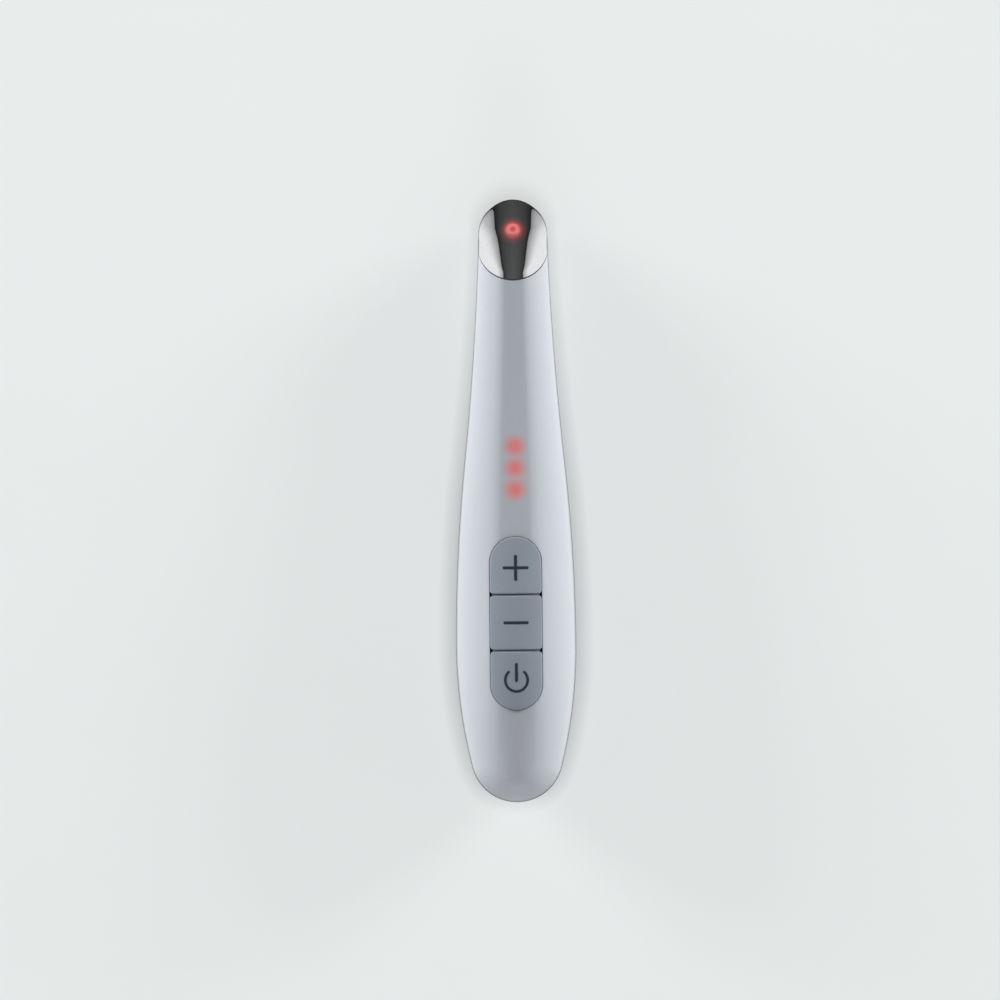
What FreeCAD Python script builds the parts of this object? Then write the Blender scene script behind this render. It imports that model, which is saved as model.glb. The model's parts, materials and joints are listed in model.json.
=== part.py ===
import FreeCAD, Part
import Sketcher
import math
import os
import re

# Eye lift wand: a slim oval handle that tapers to a slanted chrome massage head.
# Millimetres. +Y runs from the tail to the tip, +Z is the front with the keys, and
# the origin is on the small flat of the back, under the widest section of the grip.

doc = FreeCAD.newDocument("EyeLiftWand")

SIZES = {
    # Outline of the handle seen from the front, measured from the widest section
    "grip_width": 28.9,
    "grip_depth": 24.0,
    "tail_length": 37.6,
    "tail_radius": 11.1,
    "tip_reach": 107.4,
    "tip_width": 15.9,
    "neck_radius": 770.0,
    "neck_taper": 1.1,
    "outline_overrun": 3.0,
    "rest_flat": 1.1,
    # Shells
    "wall": 1.8,
    "fit_gap": 0.1,
    "parting_gap": 0.12,
    "tongue_depth": 1.0,
    # Head seam, dome and carrier
    "seam_back": 11.2,
    "seam_tilt": 42.0,
    "seal_thickness": 0.4,
    "seal_recess": 0.15,
    "dome_length": 19.0,
    "dome_half_width": 11.5,
    "dome_drop": 3.0,
    "dome_lift": 0.15,
    "dome_round": 2.0,
    "head_end_wall": 6.4,
    "carrier_wall": 1.3,
    "carrier_depth": 3.2,
    "bead_depth": 1.7,
    "bead_width": 0.9,
    # Lens, light and heater in the head
    "lens_back": 7.4,
    "lens_diameter": 3.3,
    "lens_rise": 0.5,
    "lens_seat": 2.4,
    "lens_flange_rim": 0.35,
    "lens_flange_thickness": 0.5,
    "lens_pocket": 5.6,
    "heater_thickness": 0.3,
    "head_led_width": 2.4,
    "head_led_height": 0.7,
    "head_board_thickness": 0.8,
    "head_board_margin": 0.3,
    "sensor_length": 1.6,
    "sensor_width": 0.8,
    "sensor_height": 0.6,
    # Key field
    "pad_length": 41.5,
    "pad_width": 12.4,
    "pad_reach": 5.5,
    "plus_split": 12.4,
    "power_split": 1.0,
    "key_gap": 0.5,
    "key_clearance": 0.2,
    "key_proud": 0.35,
    "key_corner": 1.0,
    "key_edge": 0.4,
    "key_wall": 1.2,
    "key_roof": 2.0,
    "collar_drop": 5.0,
    "collar_wall": 1.2,
    "stop_gap": 0.1,
    "flange_rim": 0.65,
    "flange_thickness": 0.8,
    "plunger_diameter": 3.0,
    # Switches under the keys
    "plus_reach": 18.8,
    "minus_reach": 5.7,
    "power_back": 8.1,
    "switch_width": 4.5,
    "switch_height": 3.5,
    "switch_floor": 1.3,
    "stem_diameter": 2.4,
    "stem_clearance": 0.2,
    "stem_top": 5.0,
    "stem_length": 2.9,
    # Main board and its screws
    "board_level": 0.2,
    "board_thickness": 1.2,
    "board_width": 16.0,
    "board_front_gap": 4.0,
    "board_tail_inset": 5.2,
    "board_tab_width": 9.2,
    "post_diameter": 3.6,
    "post_spacing": 12.2,
    "front_post_reach": 31.0,
    "rear_post_back": 20.6,
    "post_edge": 2.6,
    "screw_diameter": 1.6,
    "screw_length": 4.5,
    "screw_head_diameter": 3.0,
    "screw_head_height": 1.1,
    # Indicator lights behind the front shell
    "light_reach": 42.8,
    "light_pitch": 5.17,
    "light_diameter": 3.2,
    "light_bar_width": 4.4,
    "light_bar_height": 2.2,
    "led_length": 1.6,
    "led_width": 0.8,
    "led_height": 0.6,
    "led_room": 0.3,
    # Parts on the main board
    "controller_length": 5.0,
    "controller_width": 4.0,
    "controller_height": 1.6,
    "charger_width": 3.0,
    "charger_height": 1.0,
    "charger_gap": 1.0,
    "coil_width": 4.0,
    "coil_height": 2.0,
    "coil_reach": 35.0,
    "chip_length": 2.0,
    "chip_width": 1.2,
    "chip_height": 0.9,
    "chip_side": 5.0,
    # Battery
    "cell_width": 14.0,
    "cell_length": 38.0,
    "cell_thickness": 5.5,
    "cell_back": 14.0,
    "cell_round": 1.5,
    "foam_thickness": 0.75,
    "foam_width": 10.0,
    "foam_length": 28.0,
    "guard_thickness": 0.8,
    "guard_width": 12.0,
    "guard_height": 3.6,
    "cradle_width": 20.0,
    "cradle_height": 3.0,
    "cradle_thickness": 1.2,
    "cradle_inset": 7.0,
    # Charging port in the tail
    "port_width": 8.94,
    "port_height": 3.26,
    "port_metal": 0.3,
    "port_length": 7.3,
    "port_inset": 3.0,
    "port_clearance": 0.15,
    "port_back_thickness": 1.2,
    "port_tongue_width": 6.7,
    "port_tongue_height": 0.7,
    "port_tongue_setback": 1.0,
    "recess_width": 12.4,
    "recess_height": 6.6,
    "port_block_margin": 1.0,
    "port_block_depth": 1.8,
    # Vibration motor in the neck
    "motor_diameter": 6.0,
    "motor_length": 12.0,
    "motor_setback": 43.4,
    "sleeve_wall": 1.0,
    "sleeve_length": 9.0,
    "rib_width": 5.8,
    "rib_thickness": 1.4,
    "rib_pitch": 6.0,
    "shaft_diameter": 1.0,
    "shaft_clearance": 0.15,
    "shaft_length": 6.5,
    "shaft_depth": 2.0,
    "weight_diameter": 5.6,
    "weight_hub": 2.8,
    "weight_length": 4.5,
    "weight_stand": 1.0,
    # Insulated leads
    "lead_diameter": 0.8,
    "motor_lead_spacing": 2.8,
    "motor_lead_gap": 0.6,
    "head_lead_side": 4.15,
    "head_lead_level": 1.55,
    "head_lead_start": 10.0,
    "head_lead_climb": 6.0,
    "head_lead_crest": 1.0,
    "cell_lead_side": 3.0,
    "cell_lead_run": 2.4,
    "bend_share": 0.45,
}

sheet = doc.addObject("Spreadsheet::Sheet", "Sizes")
for row, (size_name, size_value) in enumerate(SIZES.items(), start=1):
    sheet.set(f"A{row}", size_name)
    sheet.set(f"B{row}", str(size_value))
    sheet.setAlias(f"B{row}", size_name)
doc.recompute()


def size(name):
    """The number in a named cell of the sheet."""
    return float(sheet.get(name))


def formula(text):
    """The text with every size name written as its cell in the sheet."""
    def cell(match):
        word = match.group(0)
        return f"Sizes.{word}" if word in SIZES else word
    return re.sub(r"[a-z_]+", cell, text)


def value(text):
    """The number that a formula of sizes gives."""
    return float(sheet.evalExpression(formula(text)))


def bind(item, path, text):
    item.setExpression(path, formula(text))


# Heights are given from the wand's own axis, which lies this far above the resting flat
AXIS = "(grip_depth / 2 - rest_flat)"
PROFILE_END = "(tip_reach + outline_overrun)"
NECK_X = "(tip_width / 2 + neck_radius * cos(neck_taper))"
NECK_Y = f"({PROFILE_END} + neck_radius * sin(neck_taper))"


def neck_half_width(reach):
    """Half the outside width of the neck at a given reach."""
    return f"({NECK_X} - sqrt(neck_radius ^ 2 - ({NECK_Y} - ({reach})) ^ 2))"


# Reaches along the wand from its widest section, counted from the tip or from the tail
SEAM_REACH = "(tip_reach - seam_back)"
LENS_REACH = "(tip_reach - lens_back)"
MOTOR_BACK = "(tip_reach - motor_setback)"
BOARD_FRONT = f"({MOTOR_BACK} - board_front_gap)"
BOARD_SHOULDER = "(-rear_post_back - post_edge)"
BOARD_TAIL = "(board_tail_inset - tail_length)"
PORT_MOUTH = "(port_inset - tail_length)"
PORT_BACK = f"({PORT_MOUTH} + port_length)"

# The dome is part of an ellipsoid whose crown starts just above the neck's front line
DOME_CENTRE = "(tip_reach - dome_length)"
DOME_HEIGHT = f"({neck_half_width(DOME_CENTRE)} * grip_depth / grip_width + dome_drop + dome_lift)"
LENS_SHARE = f"(({LENS_REACH} - {DOME_CENTRE}) / dome_length)"
LENS_ROOT = f"sqrt(1 - {LENS_SHARE} ^ 2)"
LENS_HEIGHT = f"({DOME_HEIGHT} * {LENS_ROOT} - dome_drop)"
LENS_TILT = f"atan({DOME_HEIGHT} / dome_length * {LENS_SHARE} / {LENS_ROOT})"

# Tilted frames: reach and height of the middle, and the lean of the normal from +Z toward +Y
SEAM = (SEAM_REACH, "0", "seam_tilt")
LENS = (LENS_REACH, LENS_HEIGHT, LENS_TILT)

# Levels above the wand's axis
BOARD_TOP = "board_level"
BOARD_BOTTOM = "(board_level - board_thickness)"
COLLAR_LEVEL = "(grip_depth / 2 - collar_drop)"
FLANGE_TOP = f"({COLLAR_LEVEL} - stop_gap)"
FLANGE_BOTTOM = f"({FLANGE_TOP} - flange_thickness)"
STEM_TOP = f"({BOARD_TOP} + stem_top)"
CELL_TOP = f"({BOARD_BOTTOM} - foam_thickness)"
CELL_BOTTOM = f"({CELL_TOP} - cell_thickness)"
CELL_FRONT = "(cell_length - cell_back)"
PORT_LEVEL = f"({BOARD_BOTTOM} - port_height / 2)"

# Depths below the lens opening, along the lens axis
HEAD_LED_TOP = "(lens_seat + lens_flange_thickness + fit_gap)"
HEAD_BOARD_TOP = f"({HEAD_LED_TOP} + head_led_height)"
HEAD_BOARD_BOTTOM = f"({HEAD_BOARD_TOP} + head_board_thickness)"
HOLLOW_END = "(tip_reach - head_end_wall)"


def place(item, x, y, z):
    bind(item, "Placement.Base.x", x)
    bind(item, "Placement.Base.y", y)
    bind(item, "Placement.Base.z", f"{AXIS} + ({z})")


def tilt(item, frame, v, w):
    """Stand an item in a tilted frame, v along the slope toward the tip and w along the normal."""
    reach, height, angle = frame
    item.Placement.Rotation = FreeCAD.Rotation(FreeCAD.Vector(-1, 0, 0), 1)
    bind(item, "Placement.Rotation.Angle", angle)
    bind(item, "Placement.Base.y", f"{reach} + ({v}) * cos({angle}) + ({w}) * sin({angle})")
    bind(item, "Placement.Base.z",
         f"{AXIS} + {height} - ({v}) * sin({angle}) + ({w}) * cos({angle})")


def sized_box(name, length, width, height):
    item = doc.addObject("Part::Box", name)
    bind(item, "Length", length)
    bind(item, "Width", width)
    bind(item, "Height", height)
    return item


def block(name, width, y_low, y_high, z_low, z_high, x_mid="0"):
    item = sized_box(name, width, f"({y_high}) - ({y_low})", f"({z_high}) - ({z_low})")
    place(item, f"({x_mid}) - ({width}) / 2", y_low, z_low)
    return item


def tilted_block(name, frame, width, v_low, v_high, w_low, w_high):
    item = sized_box(name, width, f"({v_high}) - ({v_low})", f"({w_high}) - ({w_low})")
    tilt(item, frame, v_low, w_low)
    bind(item, "Placement.Base.x", f"-({width}) / 2")
    return item


def post(name, diameter, x, y, z_low, z_high):
    """An upright cylinder."""
    item = doc.addObject("Part::Cylinder", name)
    bind(item, "Radius", f"({diameter}) / 2")
    bind(item, "Height", f"({z_high}) - ({z_low})")
    place(item, x, y, z_low)
    return item


def bar(name, diameter, x, z, y_low, y_high):
    """A cylinder that lies along the wand."""
    item = doc.addObject("Part::Cylinder", name)
    item.Placement.Rotation = FreeCAD.Rotation(FreeCAD.Vector(-1, 0, 0), 90)
    bind(item, "Radius", f"({diameter}) / 2")
    bind(item, "Height", f"({y_high}) - ({y_low})")
    place(item, x, y_low, z)
    return item


def lens_post(name, diameter, w_low, w_high):
    """A cylinder on the lens axis."""
    item = doc.addObject("Part::Cylinder", name)
    bind(item, "Radius", f"({diameter}) / 2")
    bind(item, "Height", f"({w_high}) - ({w_low})")
    tilt(item, LENS, "0", w_low)
    return item


def fuse(name, *shapes):
    item = doc.addObject("Part::MultiFuse", name)
    item.Shapes = list(shapes)
    item.Refine = True
    return item


def common(name, *shapes):
    item = doc.addObject("Part::MultiCommon", name)
    item.Shapes = list(shapes)
    return item


def cut(name, base, tool):
    item = doc.addObject("Part::Cut", name)
    item.Base = base
    item.Tool = tool
    return item


def group(name, *shapes):
    """Separate pieces of one kind that share a name."""
    item = doc.addObject("Part::Compound", name)
    item.Links = list(shapes)
    return item


def round_edges(name, base, radius, chosen):
    """Round the edges of a finished shape that the test picks out."""
    doc.recompute()
    picks = [number for number, edge in enumerate(base.Shape.Edges, start=1) if chosen(edge)]
    item = doc.addObject("Part::Fillet", name)
    item.Base = base
    item.Edges = [(number, radius, radius) for number in picks]
    return item


# Outline of the wand, in four tangent arcs: neck, belly, flank and tail
def rough_outline():
    """Starting geometry of the outline, which the sketch's constraints then hold."""
    half = size("grip_width") / 2
    end = size("tip_reach") + size("outline_overrun")
    tip_half = size("tip_width") / 2
    neck = size("neck_radius")
    taper = math.radians(size("neck_taper"))
    tail = size("tail_radius")
    tail_mid = size("tail_length") - tail
    neck_x = tip_half + neck * math.cos(taper)
    neck_y = end + neck * math.sin(taper)
    belly = ((neck_x - half) ** 2 + neck_y ** 2 - neck ** 2) / (2 * (neck - neck_x + half))
    flank = (half ** 2 + tail_mid ** 2 - tail ** 2) / (2 * (half - tail))
    lean = math.atan2(neck_y, neck_x - half + belly)
    turn = -math.atan2(tail_mid, flank - half)

    def arc(x, y, radius, start, stop):
        circle = Part.Circle(FreeCAD.Vector(x, y, 0), FreeCAD.Vector(0, 0, 1), radius)
        return Part.ArcOfCircle(circle, start, stop)

    tail_end = FreeCAD.Vector(0, -size("tail_length"), 0)
    axis_end = FreeCAD.Vector(0, end, 0)
    return [
        Part.LineSegment(tail_end, axis_end),
        Part.LineSegment(axis_end, FreeCAD.Vector(tip_half, end, 0)),
        arc(neck_x, neck_y, neck, math.pi + taper, math.pi + lean),
        arc(half - belly, 0, belly, 0, lean),
        arc(half - flank, 0, flank, turn, 0),
        arc(0, -tail_mid, tail, -math.pi / 2, turn),
    ]


def wand_form(name, inset):
    """The wand's oval form, a given distance inside its outer surface."""
    body = doc.addObject("PartDesign::Body", f"{name}_body")
    sketch = body.newObject("Sketcher::SketchObject", f"{name}_outline")
    plane = next(item for item in body.Origin.OriginFeatures if item.Role == "XY_Plane")
    sketch.AttachmentSupport = (plane, [""])
    sketch.MapMode = "FlatFace"
    sketch.addGeometry(rough_outline(), False)
    axis, end, neck, belly, flank, tail = range(6)
    start, stop, centre = 1, 2, 3
    across, upright = -1, -2
    rules = [
        ("Coincident", axis, start, tail, start),
        ("Coincident", axis, stop, end, start),
        ("Coincident", end, stop, neck, start),
        ("Tangent", neck, stop, belly, stop),
        ("Tangent", flank, start, tail, stop),
        ("Coincident", belly, start, flank, stop),
        ("PointOnObject", belly, start, across),
        ("PointOnObject", belly, centre, across),
        ("PointOnObject", flank, centre, across),
        ("PointOnObject", axis, start, upright),
        ("PointOnObject", axis, stop, upright),
        ("PointOnObject", tail, centre, upright),
        ("Horizontal", end),
    ]
    for rule in rules:
        sketch.addConstraint(Sketcher.Constraint(*rule))
    measures = [
        (("DistanceX", across, start, belly, start), size("grip_width") / 2, f"grip_width / 2 - ({inset})"),
        (("DistanceY", axis, start, across, start), size("tail_length"), f"tail_length - ({inset})"),
        (("DistanceY", across, start, axis, stop), size("tip_reach"), PROFILE_END),
        (("DistanceX", end, start, end, stop), size("tip_width") / 2, f"tip_width / 2 - ({inset})"),
        (("Radius", tail), size("tail_radius"), f"tail_radius - ({inset})"),
        (("Radius", neck), size("neck_radius"), f"neck_radius + ({inset})"),
        (("DistanceY", neck, start, neck, centre), 1.0, f"(neck_radius + ({inset})) * sin(neck_taper)"),
    ]
    for rule, rough, text in measures:
        number = sketch.addConstraint(Sketcher.Constraint(*rule, rough))
        bind(sketch, f"Constraints[{number}]", text)
    turned = body.newObject("PartDesign::Revolution", f"{name}_turned")
    turned.Profile = sketch
    turned.ReferenceAxis = (sketch, ["V_Axis"])
    turned.Angle = 360
    form = doc.addObject("Part::Scale", name)
    form.Base = body
    form.Uniform = False
    form.XScale = 1
    form.YScale = 1
    bind(form, "ZScale", f"(grip_depth / 2 - ({inset})) / (grip_width / 2 - ({inset}))")
    bind(form, "Placement.Base.z", AXIS)
    return form


outer = wand_form("outer_form", "0")
key_form = wand_form("key_form", "-key_proud")
seal_form = wand_form("seal_form", "seal_recess")
middle = wand_form("middle_form", "wall / 2")
middle_fit = wand_form("middle_fit_form", "wall / 2 + fit_gap")
cavity = wand_form("cavity_form", "wall")
carrier_form = wand_form("carrier_form", "wall + fit_gap")
carrier_bore = wand_form("carrier_bore_form", "wall + fit_gap + carrier_wall")

# Space above the head seam, below it and between the two
FAR = "(tip_reach + tail_length)"
seam_side = tilted_block("seam_side", SEAM, FAR, f"-{FAR}", FAR, "-seal_thickness", FAR)
head_side = tilted_block("head_side", SEAM, FAR, f"-{FAR}", FAR, "0", FAR)
seal_slab = tilted_block("seal_slab", SEAM, FAR, f"-{FAR}", FAR, "-seal_thickness", "0")


def key_slot(name, grow, z_low, z_high):
    """The rounded key field, grown all round by a given amount."""
    width = f"(pad_width + 2 * ({grow}))"
    run = "(pad_length - pad_width) / 2"
    parts = [block(f"{name}_middle", width, f"pad_reach - {run}", f"pad_reach + {run}", z_low, z_high)]
    for end, sign in (("plus", "+"), ("power", "-")):
        parts.append(post(f"{name}_{end}_end", width, "0", f"pad_reach {sign} {run}", z_low, z_high))
    return fuse(name, *parts)


def port_slot(name, width, height, y_low, y_high):
    """A flat rounded opening that lies along the wand at the charging port's level."""
    run = f"(({width}) - ({height}))"
    middle_part = block(f"{name}_middle", run, y_low, y_high,
                        f"{PORT_LEVEL} - ({height}) / 2", f"{PORT_LEVEL} + ({height}) / 2")
    left = bar(f"{name}_left", height, f"-{run} / 2", PORT_LEVEL, y_low, y_high)
    right = bar(f"{name}_right", height, f"{run} / 2", PORT_LEVEL, y_low, y_high)
    return fuse(name, middle_part, left, right)


# Features that both shells share
PORT_BLOCK_FRONT = f"({BOARD_TAIL} - port_clearance)"
PORT_BLOCK_WIDTH = "(recess_width + 2 * port_block_margin)"
recess = port_slot("port_recess", "recess_width", "recess_height", "-2 * tail_length", PORT_MOUTH)
tunnel = port_slot("port_tunnel", "port_width + 2 * port_clearance", "port_height + 2 * port_clearance",
                   "-tail_length", f"{PORT_BLOCK_FRONT} + port_clearance")
bead_groove = common("bead_groove", middle, tilted_block(
    "bead_groove_slab", SEAM, FAR, f"-{FAR}", FAR,
    "-(bead_depth + bead_width + fit_gap)", "-(bead_depth - fit_gap)"))
sleeve_bore = bar("sleeve_bore", "motor_diameter + 2 * sleeve_wall + 2 * fit_gap", "0", "0",
                  MOTOR_BACK, f"{MOTOR_BACK} + motor_length")
RIB_MIDDLE = f"({MOTOR_BACK} + motor_length / 2)"


def motor_ribs(name, z_low, z_high):
    """Two cross ribs that hold the motor's sleeve."""
    ribs = []
    for place_name, sign in (("back", "-"), ("front", "+")):
        middle_y = f"({RIB_MIDDLE} {sign} rib_pitch / 2)"
        ribs.append(block(f"{name}_{place_name}", "rib_width", f"{middle_y} - rib_thickness / 2",
                          f"{middle_y} + rib_thickness / 2", z_low, z_high))
    return ribs


def board_posts(name, diameter, z_low, z_high):
    """Four upright posts at the main board's corners."""
    posts = []
    for end, reach in (("front", "front_post_reach"), ("rear", "-rear_post_back")):
        for side, sign in (("left", "-"), ("right", "")):
            posts.append(post(f"{name}_{end}_{side}", diameter, f"{sign}post_spacing / 2", reach,
                              z_low, z_high))
    return posts


# Indicator lights in a row, with the steps from the middle one
LIGHTS = (("back", "-1"), ("middle", "0"), ("front", "1"))


def light_posts(name, diameter, z_low, z_high):
    """Three upright posts in a row under the indicator lights."""
    return [post(f"{name}_{label}", diameter, "0", f"light_reach + ({step}) * light_pitch", z_low, z_high)
            for label, step in LIGHTS]


def inner_features(name, *features):
    """Inner mouldings, kept inside the middle of the wall."""
    return common(name, fuse(f"{name}_blank", *features), middle)


def make_front_shell():
    half = block("front_half", FAR, "-2 * tail_length", "2 * tip_reach", "parting_gap / 2", "grip_depth")
    tongue_room = block("tongue_room", FAR, "-2 * tail_length", "2 * tip_reach", "-tongue_depth", "wall")
    port_room = block("port_room", f"{PORT_BLOCK_WIDTH} + 2 * fit_gap", "-2 * tail_length",
                      f"{PORT_BLOCK_FRONT} + fit_gap", "-grip_depth", "parting_gap / 2")
    tongue = cut("tongue", common("tongue_blank", middle_fit, tongue_room), port_room)
    solid = fuse("front_solid", common("front_outside", outer, half), tongue)
    hollow = cut("front_hollow", solid, cavity)
    features = inner_features(
        "front_features",
        key_slot("collar", "key_clearance + collar_wall", COLLAR_LEVEL, "grip_depth"),
        *board_posts("board_post", "post_diameter", BOARD_TOP, "grip_depth"),
        *motor_ribs("front_rib", "fit_gap", "grip_depth"),
        block("front_port_block", PORT_BLOCK_WIDTH, "-2 * tail_length", PORT_BLOCK_FRONT,
              "parting_gap / 2", "port_block_depth"))
    openings = fuse(
        "front_openings",
        key_slot("key_opening", "key_clearance", f"{FLANGE_BOTTOM}", "grip_depth"),
        *board_posts("pilot_hole", "screw_diameter + fit_gap", "-grip_depth",
                     f"{BOARD_BOTTOM} + screw_length + fit_gap"),
        common("light_wells", fuse("light_well_blank", *light_posts(
            "light_well", "light_diameter + 2 * fit_gap", BOARD_TOP, "grip_depth")), middle),
        bead_groove, sleeve_bore, recess, tunnel, seam_side)
    return cut("front_shell", fuse("front_whole", hollow, features), openings)


def make_rear_shell():
    half = block("rear_half", FAR, "-2 * tail_length", "2 * tip_reach", f"-{AXIS}", "-parting_gap / 2")
    groove = common("tongue_groove", middle, block(
        "groove_room", FAR, "-2 * tail_length", "2 * tip_reach", "-(tongue_depth + fit_gap)", "wall"))
    solid = cut("rear_solid", common("rear_outside", outer, half), groove)
    floor = block("rear_floor", FAR, "-2 * tail_length", "2 * tip_reach", f"wall - {AXIS}", "grip_depth")
    hollow = cut("rear_hollow", solid, common("rear_cavity", cavity, floor))
    cradles = [block(f"cradle_{end}", "cradle_width", f"{reach} - cradle_thickness / 2",
                     f"{reach} + cradle_thickness / 2", "-grip_depth", f"{CELL_BOTTOM} + cradle_height")
               for end, reach in (("back", "(cradle_inset - cell_back)"),
                                  ("front", f"({CELL_FRONT} - cradle_inset)"))]
    features = inner_features(
        "rear_features", *cradles, *motor_ribs("rear_rib", "-grip_depth", "-fit_gap"),
        block("rear_port_block", PORT_BLOCK_WIDTH, "-2 * tail_length", PORT_BLOCK_FRONT,
              f"{PORT_LEVEL} - recess_height / 2 - port_block_margin", "-parting_gap / 2"))
    openings = fuse(
        "rear_openings",
        block("cell_room", "cell_width + 2 * fit_gap", "-cell_back", CELL_FRONT, CELL_BOTTOM, "0"),
        bead_groove, sleeve_bore, recess, tunnel, seam_side)
    return cut("rear_shell", fuse("rear_whole", hollow, features), openings)


def make_massage_head():
    dome = doc.addObject("Part::Ellipsoid", "dome")
    dome.Angle1 = -90
    dome.Placement.Rotation = FreeCAD.Rotation(FreeCAD.Vector(0, 1, 0), 90)
    bind(dome, "Radius1", "dome_half_width")
    bind(dome, "Radius2", DOME_HEIGHT)
    bind(dome, "Radius3", "dome_length")
    place(dome, "0", DOME_CENTRE, "-dome_drop")
    blank = common("head_blank", outer, dome, head_side)
    lean = math.radians(size("seam_tilt"))
    normal = FreeCAD.Vector(0, math.sin(lean), math.cos(lean))
    seam_middle = FreeCAD.Vector(0, value(SEAM_REACH), value(AXIS))

    def on_rim(edge):
        """The closed edge where the dome meets the sides, which rises above the seam."""
        heights = [(point - seam_middle).dot(normal) for point in edge.discretize(5)]
        sides = [face for face in blank.Shape.Faces
                 if any(edge.isSame(other) for other in face.Edges)]
        return max(heights) > size("seal_thickness") and len(sides) == 2

    rounded = round_edges("head_rounded", blank, size("dome_round"), on_rim)
    hollow = common("head_hollow", cavity,
                    tilted_block("head_hollow_slab", LENS, FAR, f"-{FAR}", FAR,
                                 f"-{FAR}", f"-{HEAD_BOARD_TOP}"),
                    block("head_hollow_end", FAR, "0", HOLLOW_END, "-grip_depth", "grip_depth"))
    openings = fuse("head_openings", hollow,
                    lens_post("lens_pocket_bore", "lens_pocket", f"-{HEAD_BOARD_BOTTOM}", "-lens_seat"),
                    lens_post("lens_bore", "lens_diameter + fit_gap",
                              "-lens_seat - lens_rise", "2 * lens_seat"))
    return cut("massage_head", rounded, openings)


def make_head_seal():
    return cut("head_seal", common("seal_blank", seal_form, seal_slab), cavity)


def make_head_carrier():
    reach = block("carrier_end", FAR, "0", f"{HOLLOW_END} - fit_gap", "-grip_depth", "grip_depth")
    top = tilted_block("carrier_top", LENS, FAR, f"-{FAR}", FAR, f"-{FAR}", f"-{HEAD_BOARD_BOTTOM}")
    foot = tilted_block("carrier_foot", SEAM, FAR, f"-{FAR}", FAR, "-carrier_depth", FAR)
    bead = common("bead", middle_fit, tilted_block(
        "bead_slab", SEAM, FAR, f"-{FAR}", FAR, "-(bead_depth + bead_width)", "-bead_depth"))
    tube = common("carrier_tube", carrier_form, reach, top, foot)
    return cut("head_carrier", fuse("carrier_solid", tube, bead), carrier_bore)


def make_head_lens():
    radius = "((lens_diameter ^ 2 / 4 + lens_rise ^ 2) / (2 * lens_rise))"
    ball = doc.addObject("Part::Sphere", "lens_ball")
    bind(ball, "Radius", radius)
    tilt(ball, LENS, "0", f"lens_rise - {radius}")
    barrel = lens_post("lens_barrel", "lens_diameter", "-lens_seat - lens_flange_thickness", "2 * lens_rise")
    flange = lens_post("lens_flange", "lens_diameter + 2 * lens_flange_rim",
                       "-lens_seat - lens_flange_thickness", "-lens_seat")
    return fuse("head_lens", common("lens_body", barrel, ball), flange)


def make_heater_ring():
    ring = lens_post("heater_blank", "lens_pocket - 2 * fit_gap",
                     "-lens_seat - heater_thickness", "-lens_seat")
    hole = lens_post("heater_hole", "lens_diameter + 2 * lens_flange_rim + 2 * fit_gap",
                     "-2 * lens_seat", "0")
    return cut("heater_ring", ring, hole)


def make_head_board():
    return common("head_board", carrier_form,
                  tilted_block("head_board_slab", LENS, FAR, f"-{FAR}", FAR,
                               f"-{HEAD_BOARD_BOTTOM}", f"-{HEAD_BOARD_TOP}"),
                  tilted_block("head_board_edge", SEAM, FAR, f"-{FAR}", FAR, "head_board_margin", FAR),
                  block("head_board_end", FAR, "0", f"{HOLLOW_END} - fit_gap", "-grip_depth", "grip_depth"))


def make_head_led():
    return tilted_block("head_led", LENS, "head_led_width", "-head_led_width / 2", "head_led_width / 2",
                        f"-{HEAD_BOARD_TOP}", f"-{HEAD_LED_TOP}")


def make_thermistor():
    return tilted_block("thermistor", LENS, "sensor_length", "-sensor_width / 2", "sensor_width / 2",
                        f"-{HEAD_BOARD_BOTTOM} - sensor_height", f"-{HEAD_BOARD_BOTTOM}")


# Keys: name, the stretch of the field that each one fills, and the reach of its switch
KEYS = {
    "plus": ("plus_split + key_gap / 2", "pad_length", "plus_reach"),
    "minus": ("-power_split + key_gap / 2", "plus_split - key_gap / 2", "minus_reach"),
    "power": ("-pad_length", "-power_split - key_gap / 2", "-power_back"),
}
key_prism = key_slot("key_prism", "0", FLANGE_BOTTOM, "grip_depth")
key_flange = key_slot("key_flange", "flange_rim", FLANGE_BOTTOM, FLANGE_TOP)
key_core = key_slot("key_core", "-key_wall", "0", "grip_depth")
key_ceiling = wand_form("key_ceiling_form", "key_roof")


def make_key(name, low, high, reach):
    """A hollow key with a stop flange below the shell and a plunger over its switch."""
    stretch = block(f"{name}_stretch", FAR, low, high, "0", "grip_depth")
    inside = block(f"{name}_inside", FAR, f"{low} + key_wall", f"{high} - key_wall", "0", "grip_depth")
    blank = common(f"{name}_blank", key_prism, stretch, key_form)
    split_lines = [size("plus_split"), -size("power_split")]
    collar_height = value(f"{AXIS} + {COLLAR_LEVEL}")

    def on_corner(edge):
        """An upright edge beside a neighbouring key."""
        first, last = edge.Vertexes[0].Point, edge.Vertexes[-1].Point
        upright = math.hypot(first.x - last.x, first.y - last.y) < 0.001
        return upright and any(abs(first.y - line) < size("key_gap") for line in split_lines)

    def on_top(edge):
        """An edge of the touch face."""
        return min(vertex.Z for vertex in edge.Vertexes) > collar_height

    corners = round_edges(f"{name}_corners", blank, size("key_corner"), on_corner)
    cap = round_edges(f"{name}_cap", corners, size("key_edge"), on_top)
    flange = common(f"{name}_flange", key_flange, stretch)
    core = common(f"{name}_core", key_core, inside, key_ceiling)
    plunger = common(f"{name}_plunger", key_form,
                     post(f"{name}_plunger_post", "plunger_diameter", "0", reach, STEM_TOP,
                          "grip_depth / 2 - key_roof"))
    return fuse(f"{name}_key", cut(f"{name}_hollow", fuse(f"{name}_whole", cap, flange), core), plunger)


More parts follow.
